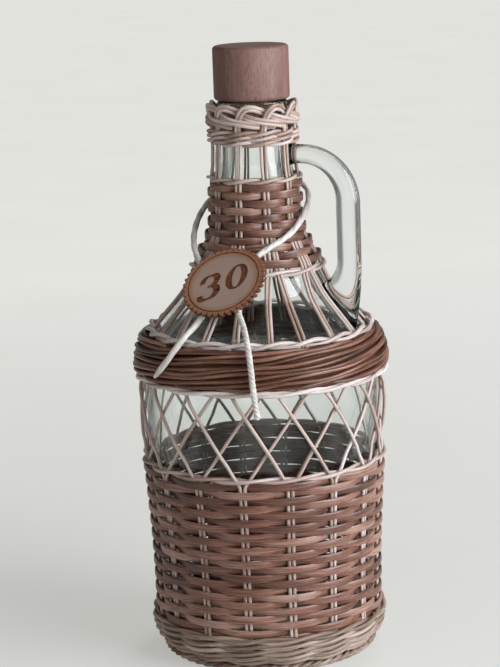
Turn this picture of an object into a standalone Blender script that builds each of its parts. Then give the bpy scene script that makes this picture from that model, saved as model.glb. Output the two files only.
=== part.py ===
"""Glass jug with a glass handle in a woven cane cover, with a wooden stopper and a tag on a tie.

The jug stands on the origin with +Z up and its handle toward +X. Every length is in metres.
The cane cover is built up from the outline of the glass: canes lie a clearance off the glass,
and the woven skins and rings lie a clearance off the canes.
"""
from math import asin, ceil, cos, pi, radians, sin, sqrt

import bmesh
import bpy
import numpy as np

# Clearance between pieces that lie on one another
CLEARANCE = 0.0003

# Facets round the glass, round the weave of the body and of the neck, and round a cane
JUG_FACETS = 24
BODY_FACETS = 32
NECK_FACETS = 20
CANE_FACETS = 4

# Glass jug, outside: each rise is the height from one ring of the outline to the next one up
WAIST_RISE = 0.0399
BELLY_RISE = 0.0390
CHEST_RISE = 0.0265
BODY_RISE = 0.0315
SHOULDER_START_RISE = 0.0215
SHOULDER_ROUND_RISE = 0.0115
CONE_LOW_RISE = 0.0080
CONE_HIGH_RISE = 0.0270
FLARE_LOW_RISE = 0.0160
FLARE_MIDDLE_RISE = 0.0095
FLARE_HIGH_RISE = 0.0095
NECK_LOW_RISE = 0.0100
NECK_MIDDLE_RISE = 0.0330
NECK_HIGH_RISE = 0.0190
LIP_RISE = 0.0166
LIP_ROUNDING = 0.0012

# Glass jug, outside: radius of the body and of the neck, and the step in radius from ring to ring away from them
BODY_RADIUS = 0.0708
CHEST_STEP = 0.0019
BELLY_STEP = 0.0021
WAIST_STEP = 0.0020
FOOT_STEP = 0.0006
SHOULDER_ROUND_STEP = 0.0018
CONE_LOW_STEP = 0.0038
NECK_RADIUS = 0.0237
FLARE_HIGH_STEP = 0.0017
FLARE_MIDDLE_STEP = 0.0042
FLARE_LOW_STEP = 0.0056
CONE_HIGH_STEP = 0.0084
NECK_MIDDLE_STEP = 0.0005
NECK_HIGH_STEP = 0.0017
LIP_STEP = 0.0005
FOOT_CORNER_RADIUS = 0.0100

# Glass jug, inside
GLASS_WALL = 0.0036
GLASS_BOTTOM = 0.0045
PUNT_RADIUS = 0.0460
PUNT_RISE = 0.0070
BORE_RADIUS = 0.0150
BORE_STRAIGHT_LENGTH = 0.0400
NECK_WALL = 0.0052

# Glass handle: a bar drawn from the neck, round an arch and down to the cone
HANDLE_TOP_OVER_NECK_MIDDLE = 0.0036
HANDLE_REACH_FROM_NECK = 0.0350
HANDLE_ARCH_RADIUS = 0.0280
HANDLE_ROOT_THICKNESS = 0.0114
HANDLE_ROOT_WIDTH = 0.0094
HANDLE_LEG_THICKNESS = 0.0147
HANDLE_LEG_WIDTH = 0.0120
HANDLE_FOOT_WIDTH = 0.0106
HANDLE_FLARE_OVER_FLARE_LOW = 0.0040
HANDLE_FOOT_TOP_OVER_CONE_HIGH = 0.0040
HANDLE_FOOT_LOW_OVER_CONE_LOW = 0.0035
HANDLE_FLARE_DROP = 0.0040
HANDLE_SINK = 0.0018
HANDLE_FACETS = 12
HANDLE_ARCH_STEPS = 5
HANDLE_FLARE_STEPS = 4

# Canes of the cover
CANE_DIAMETER = 0.0024
BODY_STATIONS = 16
NECK_STATIONS = 10
BODY_CANE_FOLD_DROP = 0.0046
BODY_CANE_TOP_OVER_SHOULDER = 0.0035
NECK_CANE_FOLD_DROP = 0.0035
NECK_CANE_TOP_OVER_COLLAR = 0.0060
NECK_CANE_SHORT_END_OVER_FLARE = 0.0070

# Lattice of the body canes between the body ring and the shoulder band
LATTICE_LEFT_LEAN = radians(26.5)
LATTICE_RIGHT_LEAN = radians(32.0)
LATTICE_EASE = 1.2
LATTICE_SHARES = (0.0, 0.16, 0.36, 0.60, 0.84, 1.0)
LATTICE_OUTER_SHARES = (0.0, 0.35, 1.0, 1.0, 1.0, 0.0)

# Woven skins: rows, wall over the canes, depth of the over and under relief, and how far a row sinks between stations
BODY_WEAVE_ROWS = 22
BODY_WEAVE_WALL = 0.0022
BODY_WEAVE_RELIEF = 0.0010
BODY_WEAVE_DIP = 0.0008
NECK_WEAVE_LOW_OVER_FLARE = 0.0008
NECK_WEAVE_HIGH_UNDER_NECK_MIDDLE = 0.0125
NECK_WEAVE_ROWS = 11
NECK_WEAVE_WALL = 0.0015
NECK_WEAVE_RELIEF = 0.0006
NECK_WEAVE_DIP = 0.0005
BAND_LOW_UNDER_SHOULDER = 0.0007
BAND_HIGH_OVER_CONE_LOW = 0.0003
BAND_ROWS = 7
BAND_WALL = 0.0040
BAND_RELIEF = 0.0007
COLLAR_LOW_UNDER_NECK_HIGH = 0.0082
COLLAR_HIGH_OVER_NECK_HIGH = 0.0015
COLLAR_ROWS = 3
COLLAR_WALL = 0.0024
COLLAR_RELIEF = 0.0007
COLLAR_DIP = 0.0005
BASE_WEAVE_RISE = 0.0067
BASE_WEAVE_ROWS = 6
BASE_WEAVE_WALL = 0.0050
BASE_WEAVE_EDGE_WALL = 0.0026
BASE_WEAVE_RELIEF = 0.0006
BASE_WEAVE_TURN = radians(50.0)

# Twined rings of two light canes
BODY_RING_DROP = 0.0017
BODY_RING_THICKNESS = 0.0033
SHOULDER_LOW_RING_THICKNESS = 0.0026
SHOULDER_HIGH_RING_THICKNESS = 0.0036
NECK_LOW_RING_DROP = 0.0028
NECK_LOW_RING_THICKNESS = 0.0028
NECK_HIGH_RING_THICKNESS = 0.0024
RING_SECTION_FACETS = 5

# Plaited border under the lip
BORDER_HIGH_UNDER_LIP = 0.0021
BORDER_WALL = 0.0036
BORDER_RELIEF = 0.0006
BORDER_WAVE = 0.0008
BORDER_STEPS_PER_STATION = 3
BORDER_ROWS = 4

# Foot: rolled border that meets the floor, and the woven round mat under the glass
FOOT_BORDER_WIDTH = 0.0092
FOOT_BORDER_OVERHANG = 0.0020
FOOT_BORDER_EDGE = 0.0022
MAT_UNDERSIDE_HEIGHT = 0.0012
MAT_THICKNESS = 0.0056
MAT_RIDGES = 2
MAT_RIDGE_DEPTH = 0.0006

# Stopper: turned head glued on a cork plug
HEAD_RADIUS = 0.0226
HEAD_HEIGHT = 0.0320
HEAD_EDGE_RADIUS = 0.0018
PLUG_LENGTH = 0.0220
PLUG_GAP = 0.0005
PLUG_TAPER = 0.0007
PLUG_END_CHAMFER = 0.0012
PLUG_TENON_RADIUS = 0.0090
PLUG_TENON_LENGTH = 0.0065
STOPPER_FACETS = 20
EDGE_STEPS = 3

# Oval tag that lies on the cone of the cover
TAG_LENGTH = 0.0525
TAG_WIDTH = 0.0410
TAG_THICKNESS = 0.0034
TAG_TEETH = 40
TAG_TOOTH_DEPTH = 0.0013
TAG_POINTS_PER_TOOTH = 2
TAG_BEARING = radians(-92.1)
TAG_MIDDLE_OVER_CONE_HIGH = 0.0065
TAG_STANDOFF = 0.0088
TAG_ROLL = radians(25.0)
TAG_TILT = radians(30.0)

# Tie of twisted paper cord; its routes are bearing in degrees, radius and height of the cord's centre
TIE_DIAMETER = 0.0037
TIE_BEVEL_RESOLUTION = 2
TIE_STEP = 0.0090
TIE_LOOP_ROUTE = (
    (-75.0, 0.0400, 0.2453), (-68.0, 0.0386, 0.2478), (-57.0, 0.0364, 0.2518),
    (-43.0, 0.0347, 0.2556), (-27.0, 0.0332, 0.2602), (-10.0, 0.0322, 0.2662),
    (8.0, 0.0319, 0.2730), (26.0, 0.0318, 0.2788), (50.0, 0.0318, 0.2822),
    (80.0, 0.0317, 0.2836), (110.0, 0.0318, 0.2830), (140.0, 0.0320, 0.2800),
    (165.0, 0.0330, 0.2742), (186.0, 0.0350, 0.2662), (204.0, 0.0372, 0.2578),
    (220.0, 0.0394, 0.2510), (233.0, 0.0414, 0.2450), (243.0, 0.0431, 0.2404),
    (246.0, 0.0436, 0.2388),
)
KNOT_LENGTH = 0.0120
KNOT_WIDTH = 0.0100
KNOT_THICKNESS = 0.0050
KNOT_RINGS = 6
KNOT_FACETS = 10
TIE_END_LEFT_ROUTE = (
    (-98.0, 0.0484, 0.2256), (-102.9, 0.0538, 0.2178), (-106.0, 0.0611, 0.2096), (-107.2, 0.0690, 0.2044),
    (-108.8, 0.0750, 0.1984), (-112.1, 0.0788, 0.1908), (-119.1, 0.0806, 0.1800),
)
TIE_END_RIGHT_ROUTE = (
    (-86.0, 0.0484, 0.2256), (-81.0, 0.0544, 0.2172), (-76.6, 0.0630, 0.2100), (-74.4, 0.0710, 0.2036),
    (-73.0, 0.0768, 0.1958), (-72.2, 0.0799, 0.1868), (-71.4, 0.0811, 0.1750), (-70.2, 0.0798, 0.1596),
)

# Rings of the outline, from the foot up, worked out from the rises and the steps
MAT_TOP_HEIGHT = MAT_UNDERSIDE_HEIGHT + MAT_THICKNESS
GLASS_BASE_HEIGHT = MAT_TOP_HEIGHT + CLEARANCE
CORNER_HEIGHT = GLASS_BASE_HEIGHT + FOOT_CORNER_RADIUS
WAIST_HEIGHT = CORNER_HEIGHT + WAIST_RISE
BELLY_HEIGHT = WAIST_HEIGHT + BELLY_RISE
CHEST_HEIGHT = BELLY_HEIGHT + CHEST_RISE
BODY_HEIGHT = CHEST_HEIGHT + BODY_RISE
SHOULDER_START_HEIGHT = BODY_HEIGHT + SHOULDER_START_RISE
SHOULDER_ROUND_HEIGHT = SHOULDER_START_HEIGHT + SHOULDER_ROUND_RISE
CONE_LOW_HEIGHT = SHOULDER_ROUND_HEIGHT + CONE_LOW_RISE
CONE_HIGH_HEIGHT = CONE_LOW_HEIGHT + CONE_HIGH_RISE
FLARE_LOW_HEIGHT = CONE_HIGH_HEIGHT + FLARE_LOW_RISE
FLARE_MIDDLE_HEIGHT = FLARE_LOW_HEIGHT + FLARE_MIDDLE_RISE
FLARE_HIGH_HEIGHT = FLARE_MIDDLE_HEIGHT + FLARE_HIGH_RISE
NECK_LOW_HEIGHT = FLARE_HIGH_HEIGHT + NECK_LOW_RISE
NECK_MIDDLE_HEIGHT = NECK_LOW_HEIGHT + NECK_MIDDLE_RISE
NECK_HIGH_HEIGHT = NECK_MIDDLE_HEIGHT + NECK_HIGH_RISE
LIP_HEIGHT = NECK_HIGH_HEIGHT + LIP_RISE
CHEST_RADIUS = BODY_RADIUS - CHEST_STEP
BELLY_RADIUS = CHEST_RADIUS - BELLY_STEP
WAIST_RADIUS = BELLY_RADIUS - WAIST_STEP
FOOT_RADIUS = WAIST_RADIUS - FOOT_STEP
CORNER_CENTRE_RADIUS = FOOT_RADIUS - FOOT_CORNER_RADIUS
SHOULDER_ROUND_RADIUS = BODY_RADIUS - SHOULDER_ROUND_STEP
CONE_LOW_RADIUS = SHOULDER_ROUND_RADIUS - CONE_LOW_STEP
FLARE_HIGH_RADIUS = NECK_RADIUS + FLARE_HIGH_STEP
FLARE_MIDDLE_RADIUS = FLARE_HIGH_RADIUS + FLARE_MIDDLE_STEP
FLARE_LOW_RADIUS = FLARE_MIDDLE_RADIUS + FLARE_LOW_STEP
CONE_HIGH_RADIUS = FLARE_LOW_RADIUS + CONE_HIGH_STEP
NECK_MIDDLE_RADIUS = NECK_RADIUS - NECK_MIDDLE_STEP
NECK_HIGH_RADIUS = NECK_MIDDLE_RADIUS - NECK_HIGH_STEP
LIP_RADIUS = NECK_HIGH_RADIUS - LIP_STEP
NECK_INSIDE_RADIUS = NECK_RADIUS - NECK_WALL

# Outline of the glass from the foot's corner to the lip, as (radius, height)
WALL_OUTLINE = (
    (FOOT_RADIUS, CORNER_HEIGHT),
    (WAIST_RADIUS, WAIST_HEIGHT),
    (BELLY_RADIUS, BELLY_HEIGHT),
    (CHEST_RADIUS, CHEST_HEIGHT),
    (BODY_RADIUS, BODY_HEIGHT),
    (BODY_RADIUS, SHOULDER_START_HEIGHT),
    (SHOULDER_ROUND_RADIUS, SHOULDER_ROUND_HEIGHT),
    (CONE_LOW_RADIUS, CONE_LOW_HEIGHT),
    (CONE_HIGH_RADIUS, CONE_HIGH_HEIGHT),
    (FLARE_LOW_RADIUS, FLARE_LOW_HEIGHT),
    (FLARE_MIDDLE_RADIUS, FLARE_MIDDLE_HEIGHT),
    (FLARE_HIGH_RADIUS, FLARE_HIGH_HEIGHT),
    (NECK_RADIUS, NECK_LOW_HEIGHT),
    (NECK_MIDDLE_RADIUS, NECK_MIDDLE_HEIGHT),
    (NECK_HIGH_RADIUS, NECK_HIGH_HEIGHT),
    (LIP_RADIUS, LIP_HEIGHT - LIP_ROUNDING),
)

# Handle on the outline of the glass
HANDLE_TOP_HEIGHT = NECK_MIDDLE_HEIGHT + HANDLE_TOP_OVER_NECK_MIDDLE
HANDLE_REACH = NECK_RADIUS + HANDLE_REACH_FROM_NECK
HANDLE_FLARE_HEIGHT = FLARE_LOW_HEIGHT + HANDLE_FLARE_OVER_FLARE_LOW
HANDLE_FOOT_TOP_HEIGHT = CONE_HIGH_HEIGHT + HANDLE_FOOT_TOP_OVER_CONE_HIGH
HANDLE_FOOT_LOW_HEIGHT = CONE_LOW_HEIGHT + HANDLE_FOOT_LOW_OVER_CONE_LOW

# Layers of the cover off the glass, and the spacing of the two canes of a pair
STAKE_OFFSET = CLEARANCE + CANE_DIAMETER / 2
SKIN_OFFSET = CLEARANCE + CANE_DIAMETER + CLEARANCE
PAIR_SPACING = CANE_DIAMETER + CLEARANCE
LATTICE_LAYER_STEP = CANE_DIAMETER + 2 * CLEARANCE

# Heights of the cover's pieces, from the rings of the outline and from one another
BASE_WEAVE_HIGH_HEIGHT = CORNER_HEIGHT + BASE_WEAVE_RISE
BODY_RING_HEIGHT = CHEST_HEIGHT - BODY_RING_DROP
BODY_WEAVE_LOW_HEIGHT = BASE_WEAVE_HIGH_HEIGHT + CLEARANCE
BODY_WEAVE_HIGH_HEIGHT = BODY_RING_HEIGHT - BODY_RING_THICKNESS / 2 - CLEARANCE
BAND_LOW_HEIGHT = SHOULDER_START_HEIGHT - BAND_LOW_UNDER_SHOULDER
BAND_HIGH_HEIGHT = CONE_LOW_HEIGHT + BAND_HIGH_OVER_CONE_LOW
SHOULDER_LOW_RING_HEIGHT = BAND_LOW_HEIGHT - CLEARANCE - SHOULDER_LOW_RING_THICKNESS / 2
SHOULDER_HIGH_RING_HEIGHT = BAND_HIGH_HEIGHT + CLEARANCE + SHOULDER_HIGH_RING_THICKNESS / 2
NECK_LOW_RING_HEIGHT = FLARE_LOW_HEIGHT - NECK_LOW_RING_DROP
NECK_SEAM_HEIGHT = NECK_LOW_RING_HEIGHT
NECK_WEAVE_LOW_HEIGHT = FLARE_LOW_HEIGHT + NECK_WEAVE_LOW_OVER_FLARE
NECK_WEAVE_HIGH_HEIGHT = NECK_MIDDLE_HEIGHT - NECK_WEAVE_HIGH_UNDER_NECK_MIDDLE
NECK_HIGH_RING_HEIGHT = NECK_WEAVE_HIGH_HEIGHT + CLEARANCE + NECK_HIGH_RING_THICKNESS / 2
COLLAR_LOW_HEIGHT = NECK_HIGH_HEIGHT - COLLAR_LOW_UNDER_NECK_HIGH
COLLAR_HIGH_HEIGHT = NECK_HIGH_HEIGHT + COLLAR_HIGH_OVER_NECK_HIGH
BORDER_LOW_HEIGHT = COLLAR_HIGH_HEIGHT + CLEARANCE
BORDER_HIGH_HEIGHT = LIP_HEIGHT - BORDER_HIGH_UNDER_LIP
LATTICE_LOW_HEIGHT = BODY_RING_HEIGHT + BODY_RING_THICKNESS / 2 + CLEARANCE
LATTICE_HIGH_HEIGHT = SHOULDER_LOW_RING_HEIGHT
BODY_CANE_FOLD_HEIGHT = CORNER_HEIGHT - BODY_CANE_FOLD_DROP
BODY_CANE_TOP_HEIGHT = SHOULDER_START_HEIGHT + BODY_CANE_TOP_OVER_SHOULDER
NECK_CANE_FOLD_HEIGHT = SHOULDER_ROUND_HEIGHT - NECK_CANE_FOLD_DROP
NECK_CANE_TOP_HEIGHT = COLLAR_HIGH_HEIGHT + NECK_CANE_TOP_OVER_COLLAR
NECK_CANE_SHORT_END_HEIGHT = FLARE_LOW_HEIGHT + NECK_CANE_SHORT_END_OVER_FLARE
TAG_MIDDLE_HEIGHT = CONE_HIGH_HEIGHT + TAG_MIDDLE_OVER_CONE_HIGH

# Foot border under the bottom edge of the base weave
BASE_WEAVE_EDGE_DROP = (FOOT_CORNER_RADIUS + SKIN_OFFSET + BASE_WEAVE_EDGE_WALL) * sin(BASE_WEAVE_TURN)
FOOT_BORDER_HEIGHT = CORNER_HEIGHT - BASE_WEAVE_EDGE_DROP - CLEARANCE
FOOT_BORDER_OUTSIDE_RADIUS = FOOT_RADIUS + FOOT_BORDER_OVERHANG
FOOT_BORDER_INSIDE_RADIUS = FOOT_BORDER_OUTSIDE_RADIUS - FOOT_BORDER_WIDTH

# Plug in the bore, and the recess of the head over its tenon
PLUG_TOP_RADIUS = BORE_RADIUS - PLUG_GAP
PLUG_END_RADIUS = PLUG_TOP_RADIUS - PLUG_TAPER
HEAD_RECESS_DEPTH = PLUG_TENON_LENGTH


def clear_scene():
    for item in list(bpy.data.objects):
        bpy.data.objects.remove(item, do_unlink=True)


def material(name, colour, roughness, metallic=0.0, transmission=0.0):
    finish = bpy.data.materials.new(name)
    finish.use_nodes = True
    shader = finish.node_tree.nodes["Principled BSDF"]
    shader.inputs["Base Color"].default_value = (*colour, 1.0)
    shader.inputs["Roughness"].default_value = roughness
    shader.inputs["Metallic"].default_value = metallic
    shader.inputs["Transmission Weight"].default_value = transmission
    finish.diffuse_color = (*colour, 1.0)
    return finish


def add_mesh(name, vertices, faces, finish, smooth=True):
    """Make an object from vertices and faces, with its faces turned outward."""
    mesh = bpy.data.meshes.new(name)
    mesh.from_pydata([tuple(vertex) for vertex in vertices], [], faces)
    form = bmesh.new()
    form.from_mesh(mesh)
    bmesh.ops.recalc_face_normals(form, faces=form.faces)
    form.to_mesh(mesh)
    form.free()
    mesh.materials.append(finish)
    if smooth:
        mesh.shade_smooth()
        mesh.set_sharp_from_angle(angle=radians(50.0))
    item = bpy.data.objects.new(name, mesh)
    bpy.context.scene.collection.objects.link(item)
    return item


def ring_faces(rings, count):
    """Quads between closed rings of count points each, from the first ring to the last."""
    faces = []
    for ring in range(rings - 1):
        low = ring * count
        high = low + count
        for step in range(count):
            after = (step + 1) % count
            faces.append((low + step, low + after, high + after, high + step))
    return faces


def loft(rings):
    """Vertices and faces of a closed body through rings of points, capped at both ends."""
    count = len(rings[0])
    vertices = [point for ring in rings for point in ring]
    faces = ring_faces(len(rings), count)
    last = (len(rings) - 1) * count
    faces.append(tuple(range(count)))
    faces.append(tuple(range(last, last + count)))
    return vertices, faces


def polar(bearing, radius, height):
    return np.array((radius * cos(bearing), radius * sin(bearing), height))


def turned(name, outline, facets, finish):
    """Turn an outline of (radius, height) about Z; it starts and ends on the axis or closes on itself."""
    form = bmesh.new()
    points = [form.verts.new((radius, 0.0, height)) for radius, height in outline]
    edges = [form.edges.new(pair) for pair in zip(points, points[1:])]
    if outline[0][0] > 0.0:
        edges.append(form.edges.new((points[-1], points[0])))
    bmesh.ops.spin(
        form, geom=points + edges, cent=(0.0, 0.0, 0.0), axis=(0.0, 0.0, 1.0),
        angle=2 * pi, steps=facets, use_merge=True, use_duplicate=False,
    )
    bmesh.ops.remove_doubles(form, verts=form.verts, dist=CLEARANCE / 100)
    bmesh.ops.recalc_face_normals(form, faces=form.faces)
    mesh = bpy.data.meshes.new(name)
    form.to_mesh(mesh)
    form.free()
    mesh.materials.append(finish)
    mesh.shade_smooth()
    mesh.set_sharp_from_angle(angle=radians(35.0))
    item = bpy.data.objects.new(name, mesh)
    bpy.context.scene.collection.objects.link(item)
    return item


def cut(item, cutter):
    """Cut an object by another one, which then goes."""
    change = item.modifiers.new("cut", "BOOLEAN")
    change.operation = "DIFFERENCE"
    change.object = cutter
    with bpy.context.temp_override(object=item, active_object=item):
        bpy.ops.object.modifier_apply(modifier=change.name)
    bpy.data.objects.remove(cutter, do_unlink=True)


# Outline helpers

def glass_radius(height):
    return float(np.interp(height, [z for _, z in WALL_OUTLINE], [r for r, _ in WALL_OUTLINE]))


def edge_normal(low, high):
    """Outward normal of an outline's edge that runs upward, as (radius, height)."""
    rise = np.array((high[0] - low[0], high[1] - low[1]))
    rise /= np.linalg.norm(rise)
    return np.array((rise[1], -rise[0]))


def off_glass(height, distance):
    """Point at a distance off the glass at a height of its outline, mitred at the outline's corners.

    Below the wall it lies at that height, off the rounded corner of the foot.
    """
    if height < CORNER_HEIGHT:
        drop = CORNER_HEIGHT - height
        return np.array((CORNER_CENTRE_RADIUS + sqrt((FOOT_CORNER_RADIUS + distance) ** 2 - drop ** 2), height))
    heights = [z for _, z in WALL_OUTLINE]
    edges = [edge_normal(*pair) for pair in zip(WALL_OUTLINE, WALL_OUTLINE[1:])]
    index = int(np.clip(np.searchsorted(heights, height), 1, len(edges)))
    normal = edges[index - 1]
    if height in heights[1:-1]:
        corner = heights.index(height)
        normal = edges[corner - 1] + edges[corner]
        normal /= np.linalg.norm(normal)
        normal = normal / float(np.dot(normal, edges[corner]))
    return np.array((glass_radius(height), height)) + distance * normal


def outline_heights(low, high):
    """The two heights, with the corners of the glass outline between them."""
    inside = [z for _, z in WALL_OUTLINE if low < z < high]
    return [low] + inside + [high]


def rows_between(low, high, rows):
    return [low + (high - low) * row / rows for row in range(rows + 1)]


# Glass jug

def jug_inside():
    """Inside outline from the middle of the bottom up to the mouth."""
    floor_height = GLASS_BASE_HEIGHT + GLASS_BOTTOM
    corner = FOOT_CORNER_RADIUS - GLASS_WALL
    points = [(0.0, floor_height + PUNT_RISE), (PUNT_RADIUS, floor_height)]
    for step in range(EDGE_STEPS):
        turn = pi / 2 * (step + 1) / EDGE_STEPS
        points.append((
            CORNER_CENTRE_RADIUS + corner * sin(turn),
            floor_height + corner - corner * cos(turn),
        ))
    for radius, height in WALL_OUTLINE:
        if WAIST_HEIGHT <= height <= FLARE_HIGH_HEIGHT:
            inner = off_glass(height, -GLASS_WALL)
            points.append((float(inner[0]), float(inner[1])))
    points.append((NECK_INSIDE_RADIUS, NECK_LOW_HEIGHT))
    points.append((BORE_RADIUS, LIP_HEIGHT - BORE_STRAIGHT_LENGTH))
    points.append((BORE_RADIUS, LIP_HEIGHT - LIP_ROUNDING))
    points.append((BORE_RADIUS + LIP_ROUNDING, LIP_HEIGHT))
    return points


def jug_outside():
    """Outside outline from the middle of the bottom up to the lip."""
    points = [(0.0, GLASS_BASE_HEIGHT + PUNT_RISE), (PUNT_RADIUS, GLASS_BASE_HEIGHT)]
    for step in range(EDGE_STEPS):
        turn = pi / 2 * step / EDGE_STEPS
        points.append((
            CORNER_CENTRE_RADIUS + FOOT_CORNER_RADIUS * sin(turn),
            CORNER_HEIGHT - FOOT_CORNER_RADIUS * cos(turn),
        ))
    points.extend(WALL_OUTLINE)
    points.append((LIP_RADIUS - LIP_ROUNDING, LIP_HEIGHT))
    return points


def split_outline(points, height):
    """The parts of an upward outline below and above a height, each with the outline's point there."""
    index = next(place for place, (_, level) in enumerate(points) if level > height)
    (low_radius, low), (high_radius, high) = points[index - 1], points[index]
    radius = low_radius + (high_radius - low_radius) * (height - low) / (high - low)
    return points[:index] + [(radius, height)], [(radius, height)] + points[index:]


def handle_ring(inner, outer, width):
    """Oval ring in the handle's cross-section, between two points of the plane y = 0."""
    inner = np.array(inner)
    outer = np.array(outer)
    centre = (inner + outer) / 2
    half = (outer - inner) / 2
    ring = []
    for step in range(HANDLE_FACETS):
        turn = 2 * pi * step / HANDLE_FACETS
        place = centre + half * cos(turn)
        ring.append((place[0], width / 2 * sin(turn), place[1]))
    return ring


def handle_rings():
    """Rings from inside the neck wall, round the arch, down the leg and into the cone."""
    rings = []
    neck_radius = glass_radius(HANDLE_TOP_HEIGHT) - HANDLE_SINK
    arch_centre = np.array((HANDLE_REACH - HANDLE_ARCH_RADIUS, HANDLE_TOP_HEIGHT - HANDLE_ARCH_RADIUS))
    half = HANDLE_ROOT_THICKNESS / 2
    rings.append(handle_ring(
        (neck_radius, HANDLE_TOP_HEIGHT - half), (neck_radius, HANDLE_TOP_HEIGHT + half), HANDLE_ROOT_WIDTH,
    ))
    for step in range(HANDLE_ARCH_STEPS + 1):
        share = step / HANDLE_ARCH_STEPS
        turn = pi / 2 * (1 - share)
        way = np.array((cos(turn), sin(turn)))
        half = (HANDLE_ROOT_THICKNESS + (HANDLE_LEG_THICKNESS - HANDLE_ROOT_THICKNESS) * share) / 2
        width = HANDLE_ROOT_WIDTH + (HANDLE_LEG_WIDTH - HANDLE_ROOT_WIDTH) * share
        rings.append(handle_ring(
            arch_centre + way * (HANDLE_ARCH_RADIUS - half), arch_centre + way * (HANDLE_ARCH_RADIUS + half), width,
        ))
    half = HANDLE_LEG_THICKNESS / 2
    inner_start = np.array((HANDLE_REACH - half, HANDLE_FLARE_HEIGHT))
    outer_start = np.array((HANDLE_REACH + half, HANDLE_FLARE_HEIGHT))
    inner_end = off_glass(HANDLE_FOOT_TOP_HEIGHT, -HANDLE_SINK)
    outer_end = off_glass(HANDLE_FOOT_LOW_HEIGHT, -HANDLE_SINK)
    inner_bend = np.array((inner_start[0], HANDLE_FOOT_TOP_HEIGHT + HANDLE_FLARE_DROP))
    outer_bend = np.array((outer_start[0], (outer_start[1] + outer_end[1]) / 2))
    for step in range(HANDLE_FLARE_STEPS + 1):
        share = step / HANDLE_FLARE_STEPS
        start, bend, end = (1 - share) ** 2, 2 * share * (1 - share), share ** 2
        width = HANDLE_LEG_WIDTH + (HANDLE_FOOT_WIDTH - HANDLE_LEG_WIDTH) * share
        rings.append(handle_ring(
            start * inner_start + bend * inner_bend + end * inner_end,
            start * outer_start + bend * outer_bend + end * outer_end,
            width,
        ))
    return rings


def make_jug(finish):
    """Body and cone up to the seam behind the lower neck ring, and the neck on it."""
    body_inside, _ = split_outline(jug_inside(), NECK_SEAM_HEIGHT)
    body_outside, _ = split_outline(jug_outside(), NECK_SEAM_HEIGHT)
    turned("glass_jug", body_inside + body_outside[::-1], JUG_FACETS, finish)
    _, neck_inside = split_outline(jug_inside(), NECK_SEAM_HEIGHT + CLEARANCE)
    _, neck_outside = split_outline(jug_outside(), NECK_SEAM_HEIGHT + CLEARANCE)
    turned("glass_neck", neck_inside + neck_outside[::-1], JUG_FACETS, finish)


def make_handle(finish):
    """Bar of glass whose two ends are cut to the jug's wall, a clearance off it."""
    handle = add_mesh("glass_handle", *loft(handle_rings()), finish)
    wall = [tuple(off_glass(height, CLEARANCE)) for _, height in WALL_OUTLINE]
    core = [(0.0, wall[0][1])] + wall + [(0.0, wall[-1][1])]
    cut(handle, turned("handle_cutter", core, JUG_FACETS, finish))


# Canes

def cane(name, path, diameter, facets, finish):
    """Round cane along a path of points, with its rings carried along without twist."""
    path = np.array(path)
    steps = np.diff(path, axis=0)
    steps /= np.linalg.norm(steps, axis=1)[:, None]
    tangents = np.vstack((steps[:1], steps[:-1] + steps[1:], steps[-1:]))
    tangents /= np.linalg.norm(tangents, axis=1)[:, None]
    side = np.cross(tangents[0], (0.0, 0.0, 1.0))
    if np.linalg.norm(side) < CLEARANCE:
        side = np.array((1.0, 0.0, 0.0))
    turns = 2 * pi * np.arange(facets) / facets
    rings = []
    for place, tangent in zip(path, tangents):
        side = side - np.dot(side, tangent) * tangent
        side /= np.linalg.norm(side)
        across = np.cross(tangent, side)
        rings.append([place + diameter / 2 * (side * cos(turn) + across * sin(turn)) for turn in turns])
    return add_mesh(name, *loft(rings), finish)


def body_leg(station, side):
    """Path of one half of a folded body cane from the fold at the foot up to the shoulder band."""
    bearing = 2 * pi * (station + 1 / 2) / BODY_STATIONS
    lean = LATTICE_RIGHT_LEAN if side > 0 else LATTICE_LEFT_LEAN
    path = []
    for height in (CORNER_HEIGHT, WAIST_HEIGHT, BELLY_HEIGHT, LATTICE_LOW_HEIGHT):
        radius, level = off_glass(height, STAKE_OFFSET)
        path.append(polar(bearing + side * asin(PAIR_SPACING / 2 / radius), radius, level))
    start = bearing + side * asin(PAIR_SPACING / 2 / radius)
    for share, outward in zip(LATTICE_SHARES[1:], LATTICE_OUTER_SHARES[1:]):
        height = LATTICE_LOW_HEIGHT + (LATTICE_HIGH_HEIGHT - LATTICE_LOW_HEIGHT) * share
        layer = outward * LATTICE_LAYER_STEP if side < 0 else 0.0
        radius, level = off_glass(height, STAKE_OFFSET + CLEARANCE / 2 + layer)
        path.append(polar(start + side * lean * share ** LATTICE_EASE, radius, level))
    radius, level = off_glass(BODY_CANE_TOP_HEIGHT, STAKE_OFFSET + CLEARANCE / 2)
    path.append(polar(start + side * lean, radius, level))
    return path


def make_body_canes(finish):
    """Sixteen canes, each folded in two at the foot so that a pair stands at its station."""
    for station in range(BODY_STATIONS):
        left = body_leg(station, -1)
        right = body_leg(station, 1)
        bearing = 2 * pi * (station + 1 / 2) / BODY_STATIONS
        fold = [polar(bearing, *off_glass(BODY_CANE_FOLD_HEIGHT, STAKE_OFFSET))]
        name = f"body_cane_{station + 1:02d}"
        cane(name, left[::-1] + fold + right, CANE_DIAMETER, CANE_FACETS, finish)


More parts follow.
